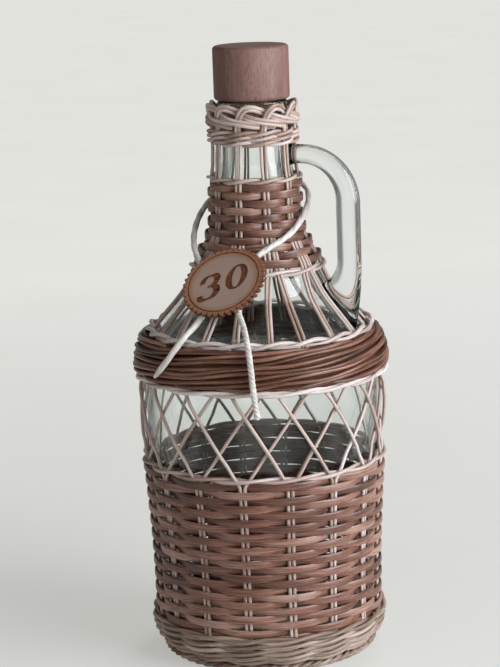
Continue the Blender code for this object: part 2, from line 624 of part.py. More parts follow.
def neck_cane_point(station, side, height, step):
    """Point of a neck cane; step 1 is next to the station's middle line and step 3 is its neighbour."""
    bearing = 2 * pi * (station + 1 / 2) / NECK_STATIONS
    radius, level = off_glass(height, STAKE_OFFSET)
    neck_offset = step * PAIR_SPACING / 2
    foot_radius = off_glass(CONE_LOW_HEIGHT, STAKE_OFFSET)[0]
    foot_offset = foot_radius * pi / NECK_STATIONS / 2 + (step - 2) * PAIR_SPACING / 2
    share = (FLARE_LOW_HEIGHT - height) / (FLARE_LOW_HEIGHT - CONE_LOW_HEIGHT)
    if height >= FLARE_LOW_HEIGHT:
        offset = neck_offset
    elif height >= CONE_LOW_HEIGHT:
        offset = neck_offset + (foot_offset - neck_offset) * share
    else:
        offset = foot_offset * radius / foot_radius
    return polar(bearing + side * offset / radius, radius, level)


def make_neck_canes(finish):
    """Two folded canes at each neck station; their folds lie under the shoulder band."""
    for station in range(NECK_STATIONS):
        for side, word in ((-1, "left"), (1, "right")):
            long_heights = outline_heights(SHOULDER_ROUND_HEIGHT, NECK_CANE_TOP_HEIGHT)
            short_heights = outline_heights(SHOULDER_ROUND_HEIGHT, NECK_CANE_SHORT_END_HEIGHT)
            long_leg = [neck_cane_point(station, side, height, 1) for height in long_heights]
            short_leg = [neck_cane_point(station, side, height, 3) for height in short_heights]
            fold = [neck_cane_point(station, side, NECK_CANE_FOLD_HEIGHT, 2)]
            name = f"neck_cane_{station + 1:02d}_{word}"
            cane(name, long_leg[::-1] + fold + short_leg, CANE_DIAMETER, CANE_FACETS, finish)


# Woven skins and rings

def sleeve(name, rings, slanted, finish):
    """Closed skin through rings of points, up its outside and down its inside.

    The slanted first rings are joined by triangles whose diagonals run up to the right.
    """
    facets = len(rings[0])
    vertices = [point for ring in rings for point in ring]
    faces = []
    for face in ring_faces(len(rings), facets):
        if face[0] < (slanted - 1) * facets:
            faces.extend((face[:3], (face[0], face[2], face[3])))
        else:
            faces.append(face)
    last = (len(rings) - 1) * facets
    for step in range(facets):
        after = (step + 1) % facets
        faces.append((last + step, last + after, after, step))
    return add_mesh(name, vertices, faces, finish)


def inner_rings(inner, facets):
    """Rings of a skin's inside from the top down, widened so that its flats clear what lies behind them."""
    spread = 1 / cos(pi / facets)
    bearings = 2 * pi * np.arange(facets) / facets
    return [[polar(bearing, radius * spread, height) for bearing in bearings] for radius, height in reversed(inner)]


def skin(name, outer, inner, facets, reliefs, dips, stations, finish):
    """Skin whose outside stands out over a station and in under it, by turns from ring to ring, and dips between."""
    bearings = 2 * pi * np.arange(facets) / facets
    over = np.cos(stations / 2 * (bearings - pi / stations))
    rings = []
    for (radius, height), relief, dip in zip(outer, reliefs, dips):
        rises = relief * over - dip * (1 - np.abs(over))
        rings.append([polar(bearing, radius + rise, height) for bearing, rise in zip(bearings, rises)])
    sleeve(name, rings + inner_rings(inner, facets), 0, finish)


def make_skin(name, low, high, rows, wall, relief, dip, facets, stations, finish):
    """Skin of flat rows between two heights, with a ring of points at the middle of each row and at both edges."""
    step = (high - low) / rows
    heights = [low] + [low + (row + 1 / 2) * step for row in range(rows)] + [high]
    outer = [off_glass(height, SKIN_OFFSET + wall) for height in heights]
    reliefs = [0.0] + [relief * (-1) ** row for row in range(rows)] + [0.0]
    dips = [0.0] + [dip] * rows + [0.0]
    inner = [off_glass(height, SKIN_OFFSET) for height in outline_heights(low, high)]
    skin(name, outer, inner, facets, reliefs, dips, stations, finish)


def make_band(finish):
    """Shoulder band of canes that climb to the right, half a row from each facet to the next one."""
    rings = []
    for step, height in enumerate(rows_between(BAND_LOW_HEIGHT, BAND_HIGH_HEIGHT, 2 * BAND_ROWS)):
        ring = []
        for facet in range(JUG_FACETS):
            ridge = -BAND_RELIEF if (step - facet) % 2 else BAND_RELIEF
            ring.append(polar(2 * pi * facet / JUG_FACETS, *off_glass(height, SKIN_OFFSET + BAND_WALL + ridge)))
        rings.append(ring)
    inner = [off_glass(height, SKIN_OFFSET) for height in outline_heights(BAND_LOW_HEIGHT, BAND_HIGH_HEIGHT)]
    sleeve("shoulder_band", rings + inner_rings(inner, JUG_FACETS), len(rings), finish)


def make_base_weave(finish):
    """Light rows at the foot; the wall follows the glass down and round its corner and thins there."""
    centre = np.array((CORNER_CENTRE_RADIUS, CORNER_HEIGHT))
    outer = []
    inner = []
    for row in range(BASE_WEAVE_ROWS + 1):
        share = row / BASE_WEAVE_ROWS
        wall = BASE_WEAVE_WALL + (BASE_WEAVE_EDGE_WALL - BASE_WEAVE_WALL) * share
        turn = max(0.0, (2 * share - 1) * BASE_WEAVE_TURN)
        rise = max(0.0, 1 - 2 * share) * (BASE_WEAVE_HIGH_HEIGHT - CORNER_HEIGHT)
        way = np.array((cos(turn), -sin(turn)))
        lift = np.array((0.0, rise))
        outer.append(centre + lift + way * (FOOT_CORNER_RADIUS + SKIN_OFFSET + wall))
        if turn > 0.0 or row == 0:
            inner.append(centre + lift + way * (FOOT_CORNER_RADIUS + SKIN_OFFSET))
    reliefs = [BASE_WEAVE_RELIEF * (-1) ** row for row in range(len(outer))]
    skin("base_weave", outer, inner, BODY_FACETS, reliefs, [0.0] * len(outer), BODY_STATIONS, finish)


def ring(name, height, thickness, facets, finish):
    """Ring of round section that lies on the canes at a height of the glass outline."""
    centre = off_glass(height, SKIN_OFFSET + thickness / 2)
    spread = 1 / cos(pi / facets)
    outline = []
    for step in range(RING_SECTION_FACETS):
        turn = 2 * pi * step / RING_SECTION_FACETS
        outline.append((centre[0] * spread + thickness / 2 * cos(turn), centre[1] + thickness / 2 * sin(turn)))
    turned(name, outline, facets, finish)


def make_rings(finish):
    ring("body_ring", BODY_RING_HEIGHT, BODY_RING_THICKNESS, BODY_FACETS, finish)
    ring("shoulder_ring_lower", SHOULDER_LOW_RING_HEIGHT, SHOULDER_LOW_RING_THICKNESS, BODY_FACETS, finish)
    ring("shoulder_ring_upper", SHOULDER_HIGH_RING_HEIGHT, SHOULDER_HIGH_RING_THICKNESS, BODY_FACETS, finish)
    ring("neck_ring_lower", NECK_LOW_RING_HEIGHT, NECK_LOW_RING_THICKNESS, NECK_FACETS, finish)
    ring("neck_ring_upper", NECK_HIGH_RING_HEIGHT, NECK_HIGH_RING_THICKNESS, NECK_FACETS, finish)


def make_border(finish):
    """Plaited border: a rolled rim whose ridges slant and whose top edge rises over each station."""
    facets = NECK_STATIONS * BORDER_STEPS_PER_STATION
    bearings = 2 * pi * np.arange(facets) / facets
    rings = []
    for row in range(BORDER_ROWS + 1):
        share = row / BORDER_ROWS
        height = BORDER_LOW_HEIGHT + (BORDER_HIGH_HEIGHT - BORDER_LOW_HEIGHT) * share
        bulge = BORDER_WALL * (1 - (2 * share - 1) ** 2 / 2)
        wave = np.cos(NECK_STATIONS * bearings + pi * (1 + share))
        radii = off_glass(height, SKIN_OFFSET + bulge)[0] + BORDER_RELIEF * wave
        levels = height + BORDER_WAVE * share * wave
        rings.append([polar(*place) for place in zip(bearings, radii, levels)])
    inner = [off_glass(height, SKIN_OFFSET) for height in (BORDER_LOW_HEIGHT, BORDER_HIGH_HEIGHT)]
    sleeve("neck_border", rings + inner_rings(inner, facets), 0, finish)


# Foot

def make_foot(light, brown):
    border = [
        (FOOT_BORDER_INSIDE_RADIUS, 0.0),
        (FOOT_BORDER_OUTSIDE_RADIUS - FOOT_BORDER_EDGE, 0.0),
        (FOOT_BORDER_OUTSIDE_RADIUS, FOOT_BORDER_HEIGHT / 2),
        (FOOT_BORDER_OUTSIDE_RADIUS - FOOT_BORDER_EDGE, FOOT_BORDER_HEIGHT),
        (FOOT_BORDER_INSIDE_RADIUS, FOOT_BORDER_HEIGHT),
    ]
    turned("foot_border", border, BODY_FACETS, light)
    mat_radius = FOOT_BORDER_INSIDE_RADIUS * cos(pi / BODY_FACETS) - CLEARANCE
    underside = [(0.0, MAT_UNDERSIDE_HEIGHT)]
    for step in range(1, 2 * MAT_RIDGES):
        depth = MAT_RIDGE_DEPTH if step % 2 else 0.0
        underside.append((mat_radius * step / 2 / MAT_RIDGES, MAT_UNDERSIDE_HEIGHT + depth))
    mat = underside + [(mat_radius, MAT_UNDERSIDE_HEIGHT), (mat_radius, MAT_TOP_HEIGHT), (0.0, MAT_TOP_HEIGHT)]
    turned("base_mat", mat, JUG_FACETS, brown)


# Stopper

def make_stopper(wood, cork):
    low = LIP_HEIGHT + CLEARANCE
    high = low + HEAD_HEIGHT
    recess = PLUG_TENON_RADIUS + CLEARANCE
    outline = [(0.0, low + HEAD_RECESS_DEPTH), (recess, low + HEAD_RECESS_DEPTH), (recess, low)]
    centre_radius = HEAD_RADIUS - HEAD_EDGE_RADIUS
    for step in range(EDGE_STEPS + 1):
        turn = pi / 2 * step / EDGE_STEPS
        outline.append((centre_radius + HEAD_EDGE_RADIUS * sin(turn),
                        low + HEAD_EDGE_RADIUS - HEAD_EDGE_RADIUS * cos(turn)))
    for step in range(EDGE_STEPS + 1):
        turn = pi / 2 * step / EDGE_STEPS
        outline.append((centre_radius + HEAD_EDGE_RADIUS * cos(turn),
                        high - HEAD_EDGE_RADIUS + HEAD_EDGE_RADIUS * sin(turn)))
    outline.append((0.0, high))
    turned("stopper_head", outline, STOPPER_FACETS, wood)
    top = low - CLEARANCE
    end = top - PLUG_LENGTH
    plug = [
        (0.0, end),
        (PLUG_END_RADIUS - PLUG_END_CHAMFER, end),
        (PLUG_END_RADIUS, end + PLUG_END_CHAMFER),
        (PLUG_TOP_RADIUS, top),
        (PLUG_TENON_RADIUS, top),
        (PLUG_TENON_RADIUS, top + PLUG_TENON_LENGTH),
        (0.0, top + PLUG_TENON_LENGTH),
    ]
    turned("stopper_plug", plug, STOPPER_FACETS, cork)


# Tag and tie

def tag_frame():
    """Middle of the tag's back face and its directions across, up the tag and outward.

    The back stands off the glass by the room that the knot and the tie take under the tag.
    """
    back = np.array((glass_radius(TAG_MIDDLE_HEIGHT), TAG_MIDDLE_HEIGHT))
    back += TAG_STANDOFF * np.array((cos(TAG_TILT), sin(TAG_TILT)))
    across = np.array((-sin(TAG_BEARING), cos(TAG_BEARING), 0.0))
    outward = polar(TAG_BEARING, cos(TAG_TILT), sin(TAG_TILT))
    return polar(TAG_BEARING, *back), across, np.cross(outward, across), outward


def make_tag(finish):
    centre, across, upward, outward = tag_frame()
    count = TAG_TEETH * TAG_POINTS_PER_TOOTH
    faces = []
    for lift in (0.0, TAG_THICKNESS):
        face = []
        for step in range(count):
            turn = 2 * pi * step / count
            tooth = TAG_TOOTH_DEPTH * abs(sin(TAG_TEETH * turn / 2))
            along = (TAG_LENGTH / 2 - TAG_TOOTH_DEPTH + tooth) * cos(turn)
            aside = (TAG_WIDTH / 2 - TAG_TOOTH_DEPTH + tooth) * sin(turn)
            right = along * cos(TAG_ROLL) - aside * sin(TAG_ROLL)
            high = along * sin(TAG_ROLL) + aside * cos(TAG_ROLL)
            face.append(centre + across * right + upward * high + outward * lift)
        faces.append(face)
    add_mesh("tag_disc", *loft(faces), finish, smooth=False)


def smooth_route(route, spacing):
    """Points about a spacing apart on a smooth curve through the route's own points."""
    points = [polar(radians(bearing), radius, height) for bearing, radius, height in route]
    ends = [2 * points[0] - points[1]] + points + [2 * points[-1] - points[-2]]
    fine = []
    for first, start, end, last in zip(ends, ends[1:], ends[2:], ends[3:]):
        for step in range(10):
            share = step / 10
            fine.append((
                2 * start + (end - first) * share
                + (2 * first - 5 * start + 4 * end - last) * share ** 2
                + (3 * start - first - 3 * end + last) * share ** 3
            ) / 2)
    fine.append(points[-1])
    fine = np.array(fine)
    travelled = np.concatenate(((0.0,), np.cumsum(np.linalg.norm(np.diff(fine, axis=0), axis=1))))
    count = max(2, ceil(travelled[-1] / spacing)) + 1
    stops = np.linspace(0.0, travelled[-1], count)
    return np.stack([np.interp(stops, travelled, fine[:, axis]) for axis in range(3)], axis=1)


def make_cord(name, route, finish):
    curve = bpy.data.curves.new(name, "CURVE")
    curve.dimensions = "3D"
    curve.bevel_depth = TIE_DIAMETER / 2
    curve.bevel_resolution = TIE_BEVEL_RESOLUTION
    curve.use_fill_caps = True
    points = smooth_route(route, TIE_STEP)
    spline = curve.splines.new("POLY")
    spline.points.add(len(points) - 1)
    for place, point in zip(points, spline.points):
        point.co = (*place, 1.0)
    curve.materials.append(finish)
    item = bpy.data.objects.new(name, curve)
    bpy.context.scene.collection.objects.link(item)
    return points


def make_knot(finish):
    """Flat knot glued under the middle of the tag."""
    centre, across, upward, outward = tag_frame()
    middle = centre - outward * (KNOT_THICKNESS / 2 + CLEARANCE)
    rings = []
    for step in range(1, KNOT_RINGS):
        turn = pi * step / KNOT_RINGS
        along = -KNOT_LENGTH / 2 * cos(turn)
        rings.append([
            middle + across * along
            + upward * (KNOT_WIDTH / 2 * sin(turn) * cos(2 * pi * facet / KNOT_FACETS))
            + outward * (KNOT_THICKNESS / 2 * sin(turn) * sin(2 * pi * facet / KNOT_FACETS))
            for facet in range(KNOT_FACETS)
        ])
    add_mesh("tie_knot", *loft(rings), finish)


def build():
    clear_scene()
    glass = material("clear_glass", (0.78, 0.84, 0.80), 0.04, transmission=1.0)
    light_cane = material("light_cane", (0.76, 0.62, 0.46), 0.50)
    brown_cane = material("brown_cane", (0.40, 0.21, 0.13), 0.48)
    dark_cane = material("dark_cane", (0.24, 0.11, 0.08), 0.45)
    beech = material("beech", (0.55, 0.33, 0.26), 0.55)
    cork = material("cork", (0.66, 0.48, 0.32), 0.85)
    plywood = material("plywood", (0.62, 0.44, 0.31), 0.65)
    paper_cord = material("paper_cord", (0.80, 0.77, 0.71), 0.60)

    make_jug(glass)
    make_handle(glass)
    make_body_canes(light_cane)
    make_neck_canes(light_cane)
    make_skin("body_weave", BODY_WEAVE_LOW_HEIGHT, BODY_WEAVE_HIGH_HEIGHT, BODY_WEAVE_ROWS,
              BODY_WEAVE_WALL, BODY_WEAVE_RELIEF, BODY_WEAVE_DIP, BODY_FACETS, BODY_STATIONS, brown_cane)
    make_skin("neck_weave", NECK_WEAVE_LOW_HEIGHT, NECK_WEAVE_HIGH_HEIGHT, NECK_WEAVE_ROWS,
              NECK_WEAVE_WALL, NECK_WEAVE_RELIEF, NECK_WEAVE_DIP, NECK_FACETS, NECK_STATIONS, brown_cane)
    make_skin("neck_collar", COLLAR_LOW_HEIGHT, COLLAR_HIGH_HEIGHT, COLLAR_ROWS,
              COLLAR_WALL, COLLAR_RELIEF, COLLAR_DIP, NECK_FACETS, NECK_STATIONS, light_cane)
    make_band(dark_cane)
    make_base_weave(light_cane)
    make_rings(light_cane)
    make_border(light_cane)
    make_foot(light_cane, brown_cane)
    make_stopper(beech, cork)
    make_tag(plywood)
    make_cord("tie_loop", TIE_LOOP_ROUTE, paper_cord)
    make_knot(paper_cord)
    make_cord("tie_end_left", TIE_END_LEFT_ROUTE, paper_cord)
    make_cord("tie_end_right", TIE_END_RIGHT_ROUTE, paper_cord)


build()
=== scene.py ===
from math import ceil, cos, pi, radians, sin

import bmesh
import bpy
import numpy as np
from mathutils import Matrix, Vector


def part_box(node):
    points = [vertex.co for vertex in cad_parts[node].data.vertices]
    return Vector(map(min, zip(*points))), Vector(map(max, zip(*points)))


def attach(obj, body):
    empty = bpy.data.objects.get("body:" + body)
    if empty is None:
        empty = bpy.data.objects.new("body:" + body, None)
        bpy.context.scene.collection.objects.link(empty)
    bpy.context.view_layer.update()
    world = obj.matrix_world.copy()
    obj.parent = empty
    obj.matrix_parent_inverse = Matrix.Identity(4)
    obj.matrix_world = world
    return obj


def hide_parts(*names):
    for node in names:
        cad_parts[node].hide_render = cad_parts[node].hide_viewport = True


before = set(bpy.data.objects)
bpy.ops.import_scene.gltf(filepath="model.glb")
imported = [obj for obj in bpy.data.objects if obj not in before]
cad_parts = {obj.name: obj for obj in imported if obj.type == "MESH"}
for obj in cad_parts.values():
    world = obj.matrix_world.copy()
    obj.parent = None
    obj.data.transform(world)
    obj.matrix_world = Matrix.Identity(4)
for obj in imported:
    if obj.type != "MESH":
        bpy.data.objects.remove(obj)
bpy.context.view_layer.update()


# Camera
# It stands where the photographer stood, 1.3 m from the bottle and a little above its lip,
# and leans two degrees to one side, as the photograph does.

AWAY, EYE_HEIGHT = 1.29887, 0.46651
pitch, roll, yaw, stand = radians(11.8635), radians(-2.0448), radians(-0.2695), radians(22.0)
forward = np.array((sin(yaw) * cos(pitch), cos(yaw) * cos(pitch), -sin(pitch)))
right = np.array((cos(yaw), -sin(yaw), 0.0))
up = np.cross(right, forward)
right, up = right * cos(roll) + up * sin(roll), up * cos(roll) - right * sin(roll)
look = Matrix(np.column_stack((right, up, -forward)).tolist()).to_4x4()
look.translation = (0.0, -AWAY, EYE_HEIGHT)

camera_data = bpy.data.cameras.new("camera")
camera_data.lens = 118.03
camera_data.sensor_width = 36.0
camera_data.clip_start = 0.05
camera = bpy.data.objects.new("camera", camera_data)
camera.matrix_world = Matrix.Rotation(stand, 4, "Z") @ look
bpy.context.scene.collection.objects.link(camera)
bpy.context.scene.camera = camera
bpy.context.scene.view_settings.view_transform = "Standard"


# Floor, lamps and surroundings
# A pale floor runs out to a pale horizon. A large soft lamp stands on the handle's side, as the photograph's
# window does, and weaker ones on the other side and behind. Four grey screens stand between the bottle's four
# sides, and show only in gloss and glass, where they draw the edges of the glass.

def feed(tree, item, inputs):
    """Put a value or another node's output on each named input of a node."""
    for name, value in inputs.items():
        if isinstance(value, bpy.types.NodeSocket):
            tree.links.new(value, item.inputs[name])
        else:
            item.inputs[name].default_value = value


def node(tree, kind, inputs=None, **settings):
    """One node with its settings and inputs."""
    item = tree.nodes.new("ShaderNode" + kind)
    for name, value in settings.items():
        setattr(item, name, value)
    feed(tree, item, inputs or {})
    return item


def maths(tree, operation, *values):
    """One step of arithmetic."""
    return node(tree, "Math", dict(enumerate(values)), operation=operation).outputs[0]


def drawn_out(tree, value, low, high, start=0.0, end=1.0, **settings):
    """A value, with its stretch from low to high drawn out from start to end, and held at both ends."""
    ends = {"From Min": low, "From Max": high, "To Min": start, "To Max": end}
    return node(tree, "MapRange", {"Value": value, **ends}, **settings).outputs[0]


def mixed(tree, share, first, second):
    """The colour that lies a share of the way from the first to the second."""
    return node(tree, "Mix", {"Factor": share, 6: first, 7: second}, data_type="RGBA").outputs[2]


def tint(red, green, blue):
    """Linear colour of a colour in steps of 0 to 255: each share to the power 2.2."""
    return tuple((step / 255) ** 2.2 for step in (red, green, blue)) + (1.0,)


def shades(tree, value, *stops):
    """Colour ramp through stops: a place, and a colour in steps of 0 to 255."""
    ramp = node(tree, "ValToRGB", {0: value})
    while len(ramp.color_ramp.elements) < len(stops):
        ramp.color_ramp.elements.new(0.5)
    for element, (place, *colour) in zip(ramp.color_ramp.elements, stops):
        element.position, element.color = place, tint(*colour)
    return ramp.outputs[0]


def seen_rays(tree):
    """1 for a ray from the camera, off smooth glass or through it, and 0 for light on the object."""
    path = node(tree, "LightPath").outputs
    either = maths(tree, "MAXIMUM", path["Is Camera Ray"], path["Is Singular Ray"])
    return maths(tree, "MAXIMUM", either, path["Is Transmission Ray"])


def screens(tree, direction, grey, pale):
    """A pale colour, and grey where glass or gloss looks toward one of four screens: with a for the bearing
    from the camera's side, the grey sets in as the cosine of 4 x a falls from 0.3 to -0.5."""
    split = node(tree, "SeparateXYZ", {0: direction}).outputs
    bearing = maths(tree, "ARCTAN2", split["Y"], split["X"])
    wave = maths(tree, "COSINE", maths(tree, "MULTIPLY_ADD", bearing, 4.0, -4.0 * stand))
    covered = drawn_out(tree, wave, 0.3, -0.5, interpolation_type="SMOOTHSTEP")
    path = node(tree, "LightPath").outputs
    mirrored = maths(tree, "MAXIMUM", path["Is Glossy Ray"], path["Is Transmission Ray"])
    return mixed(tree, maths(tree, "MULTIPLY", covered, mirrored), pale, grey)


world = bpy.data.worlds.new("surroundings")
world.use_nodes = True
tree = world.node_tree
tree.nodes.clear()
direction = node(tree, "TexCoord").outputs["Generated"]
height = node(tree, "SeparateXYZ", {0: direction}).outputs["Z"]
sky = shades(tree, height, (0.0, 236, 236, 232), (0.85, 150, 154, 150))
room = screens(tree, direction, tint(104, 110, 106), sky)
strength = drawn_out(tree, seen_rays(tree), 0.0, 1.0, 0.37, 1.0)
background = node(tree, "Background", {"Color": room, "Strength": strength})
tree.links.new(background.outputs[0], node(tree, "OutputWorld").inputs["Surface"])
bpy.context.scene.world = world


def lamp(name, place, size, power, colour):
    """A round soft lamp at a place in the camera's frame, turned toward the middle of the bottle.
    It shows in reflections, and not through the glass."""
    data = bpy.data.lights.new(name, "AREA")
    data.shape, data.size, data.energy, data.color = "DISK", size, power, colour
    item = bpy.data.objects.new(name, data)
    spot = Matrix.Rotation(stand, 3, "Z") @ Vector(place)
    item.rotation_euler = (Vector((0, 0, 0.2)) - spot).to_track_quat("-Z", "Y").to_euler()
    item.location = spot
    item.visible_transmission = False
    bpy.context.scene.collection.objects.link(item)
    return item


lamp("window", (1.25, -0.75, 0.72), 1.4, 33.5, (0.92, 0.945, 1.0))
lamp("fill", (-1.3, -1.1, 0.7), 1.2, 3.0, (1.0, 0.94, 0.88))
lamp("back_light", (0.5, 1.4, 1.1), 0.9, 9.0, (0.96, 0.98, 1.0)).visible_glossy = False

FLOOR_RADIUS, FLOOR_CORNERS = 14.0, 64
floor_mesh = bpy.data.meshes.new("floor")
turn = np.linspace(0, 2 * pi, FLOOR_CORNERS, endpoint=False)
edge = FLOOR_RADIUS * np.stack((np.cos(turn), np.sin(turn), 0 * turn), 1)
floor_mesh.from_pydata(edge.tolist(), [], [tuple(range(FLOOR_CORNERS))])
floor = bpy.data.objects.new("floor", floor_mesh)
bpy.context.scene.collection.objects.link(floor)
paint = bpy.data.materials.new("floor_paint")
paint.use_nodes = True
tree = paint.node_tree
tree.nodes.clear()
spot = node(tree, "TexCoord").outputs["Object"]
cloud = node(tree, "TexNoise", {"Vector": spot, "Scale": 6.0, "Detail": 3.0}).outputs["Fac"]
shade = mixed(tree, cloud, tint(226, 226, 221), tint(232, 232, 228))
matt = node(tree, "BsdfDiffuse", {"Color": shade})
glow = node(tree, "Emission", {"Color": screens(tree, spot, tint(120, 124, 120), shade), "Strength": 1.0})
away = node(tree, "VectorMath", {0: spot}, operation="LENGTH").outputs["Value"]
part_seen = maths(tree, "MULTIPLY", seen_rays(tree), drawn_out(tree, away, 0.2, 1.3, 0.5, 0.95))
both = node(tree, "MixShader", {0: part_seen, 1: matt.outputs[0], 2: glow.outputs[0]})
tree.links.new(both.outputs[0], node(tree, "OutputMaterial").inputs["Surface"])
floor_mesh.materials.append(paint)


# Tie
# White twisted paper cord: a loop lies round the neck and runs to the knot behind the tag,
# and its two free ends hang over the cone, the band and the top of the lattice.

CORD_DIAMETER = 0.0037
TAG_BEARING, TAG_TILT, TAG_ROLL = radians(-92.1), radians(30.0), radians(25.0)
LOOP_ROUTE = (
    (-75, .0400, .2453), (-68, .0386, .2478), (-57, .0364, .2518), (-43, .0347, .2556), (-27, .0332, .2602),
    (-10, .0322, .2662), (8, .0319, .2730), (26, .0318, .2788), (50, .0318, .2822), (80, .0317, .2836),
    (110, .0318, .2830), (140, .0320, .2800), (165, .0330, .2742), (186, .0350, .2662), (204, .0372, .2578),
    (220, .0394, .2510), (233, .0414, .2450), (243, .0431, .2404), (246, .0436, .2388),
)
LEFT_ROUTE = (
    (-98, .0484, .2256), (-102.9, .0538, .2178), (-106, .0611, .2096), (-107.2, .0690, .2044),
    (-108.8, .0750, .1984), (-112.1, .0788, .1908), (-119.1, .0806, .1800),
)
RIGHT_ROUTE = (
    (-86, .0484, .2256), (-81, .0544, .2172), (-76.6, .0630, .2100), (-74.4, .0710, .2036),
    (-73, .0768, .1958), (-72.2, .0799, .1868), (-71.4, .0811, .1750), (-70.2, .0798, .1596),
)


def round_axis(bearing, radius, height):
    """Points at a bearing, a radius from the bottle's axis and a height."""
    return np.stack(np.broadcast_arrays(radius * np.cos(bearing), radius * np.sin(bearing), height), -1)


def travelled(points):
    """Metres from the first point of a line to each of its points."""
    return np.concatenate(((0,), np.cumsum(np.linalg.norm(np.diff(points, axis=0), axis=1))))


def smooth_route(points, step):
    """Evenly spaced points on a smooth curve through the given ones: between two of them a cubic whose slope
    at each is half the way from the one before to the one after."""
    points = np.asarray(points, float)
    ends = np.concatenate(([2 * points[0] - points[1]], points, [2 * points[-1] - points[-2]]))
    share = np.arange(24)[None, :, None] / 24
    before, start, end, after = (ends[k:len(ends) - 3 + k][:, None] for k in range(4))
    fine = (2 * start + (end - before) * share + (2 * before - 5 * start + 4 * end - after) * share ** 2
            + (3 * start - before - 3 * end + after) * share ** 3) / 2
    fine = np.concatenate((fine.reshape(-1, points.shape[1]), points[-1:]))
    metres = travelled(fine)
    stops = np.linspace(0, metres[-1], int(ceil(metres[-1] / step)) + 1)
    return np.stack([np.interp(stops, metres, column) for column in fine.T], 1)


def oval(count, power=2.0):
    """Section of half width and half thickness 1: cosine and sine, each to the power 2 / power.
    With 2 it is an ellipse, and with more it is squarer."""
    turn = 2 * pi * (np.arange(count) + 0.5) / count
    return np.stack([np.sign(part) * np.abs(part) ** (2 / power) for part in (np.cos(turn), np.sin(turn))], 1)


def strand(path, outward, wide, thick, section, closed=False, start=0.0, twist=None):
    """A section carried along a path, its first axis across the path and its second outward, and turned by
    twist on the way. It comes with the metres along it, from start, and the metres round it."""
    path = np.asarray(path, float)
    ahead = np.roll(path, -1, 0) - np.roll(path, 1, 0) if closed else np.gradient(path, axis=0)
    ahead /= np.linalg.norm(ahead, axis=1, keepdims=True)
    across = np.cross(ahead, outward)
    across /= np.linalg.norm(across, axis=1, keepdims=True)
    outward = np.cross(across, ahead)
    wide = np.broadcast_to(wide, len(path))[:, None, None] / 2
    thick = np.broadcast_to(thick, len(path))[:, None, None] / 2
    if twist is not None:
        across, outward = (across * np.cos(twist)[:, None] + outward * np.sin(twist)[:, None],
                           outward * np.cos(twist)[:, None] - across * np.sin(twist)[:, None])
    sideways, upright = section[None, :, :1], section[None, :, 1:]
    rings = path[:, None] + across[:, None] * sideways * wide + outward[:, None] * upright * thick
    along = start + travelled(np.concatenate((path, path[:1])) if closed else path)
    around = travelled(np.concatenate((section, section[:1])) * (float(wide.mean()), float(thick.mean())))
    return rings, along, around, closed


def woven(name, strands, finish, sharp=50.0):
    """One mesh of strands: quads between each two rings of points, and a flat face on each open end."""
    points, corners, counts, places, first = [], [], [], [], 0
    for rings, along, around, closed in strands:
        rows, count = rings.shape[:2]
        spans = np.arange(rows if closed else rows - 1)
        i, j = (index.ravel() for index in np.meshgrid(spans, np.arange(count), indexing="ij"))
        near, far, beside = i * count, (i + 1) % rows * count, (j + 1) % count
        corners.append(first + np.stack((near + j, far + j, far + beside, near + beside), 1).ravel())
        counts.append(np.full(len(i), 4))
        a, b, c, d = along[i], along[i + 1], around[j], around[j + 1]
        places.append(np.stack((a, c, b, c, b, d, a, d), 1).reshape(-1, 2))
        if not closed:
            ring, sides = np.arange(count), around[:-1]
            corners += [first + ring, first + (rows - 1) * count + ring[::-1]]
            counts.append(np.array((count, count)))
            places += [np.stack((np.full(count, along[0]), sides), 1),
                       np.stack((np.full(count, along[-1]), sides[::-1]), 1)]
        points.append(rings.reshape(-1, 3))
        first += rows * count
    points, corners, counts, places = (np.concatenate(parts) for parts in (points, corners, counts, places))
    mesh = bpy.data.meshes.new(name)
    mesh.vertices.add(len(points))
    mesh.vertices.foreach_set("co", points.ravel().astype(np.float32))
    mesh.loops.add(len(corners))
    mesh.loops.foreach_set("vertex_index", corners.astype(np.int32))
    mesh.polygons.add(len(counts))
    mesh.polygons.foreach_set("loop_start", (np.cumsum(counts) - counts).astype(np.int32))
    mesh.uv_layers.new(name="strand").data.foreach_set("uv", places.ravel().astype(np.float32))
    mesh.update(calc_edges=True)
    mesh.shade_smooth()
    mesh.set_sharp_from_angle(angle=radians(sharp))
    mesh.materials.append(finish)
    item = bpy.data.objects.new(name, mesh)
    bpy.context.scene.collection.objects.link(item)
    return item


def new_finish(name, kind="UVMap"):
    """A node material: its tree, its shader, which is on the output, and the place on the surface, in metres
    along and round a strand, or in the room."""
    finish = bpy.data.materials.new(name)
    finish.use_nodes = True
    tree = finish.node_tree
    if kind == "UVMap":
        place = node(tree, kind, uv_map="strand").outputs[0]
    else:
        place = node(tree, kind).outputs["Object"]
    return finish, tree, tree.nodes["Principled BSDF"], place


def noise(tree, place, scale, detail, rough=0.5):
    """Noise whose grains are drawn out by a different scale along each axis."""
    spread = node(tree, "Mapping", {"Vector": place, "Scale": scale}).outputs[0]
    inputs = {"Vector": spread, "Scale": 1.0, "Detail": detail, "Roughness": rough}
    return node(tree, "TexNoise", inputs).outputs["Fac"]


def blend_of(tree, *parts):
    """Sum of shares of several values, each counted from its middle, 0.5, on a middle of 0.5."""
    total = 0.5 - 0.5 * sum(share for _, share in parts)
    for value, share in parts:
        total = maths(tree, "MULTIPLY_ADD", value, share, total)
    return total


def bump(tree, height, strength, depth):
    """The normal of a surface that rises by a depth where a height is 1."""
    return node(tree, "Bump", {"Height": height, "Strength": strength, "Distance": depth}).outputs[0]


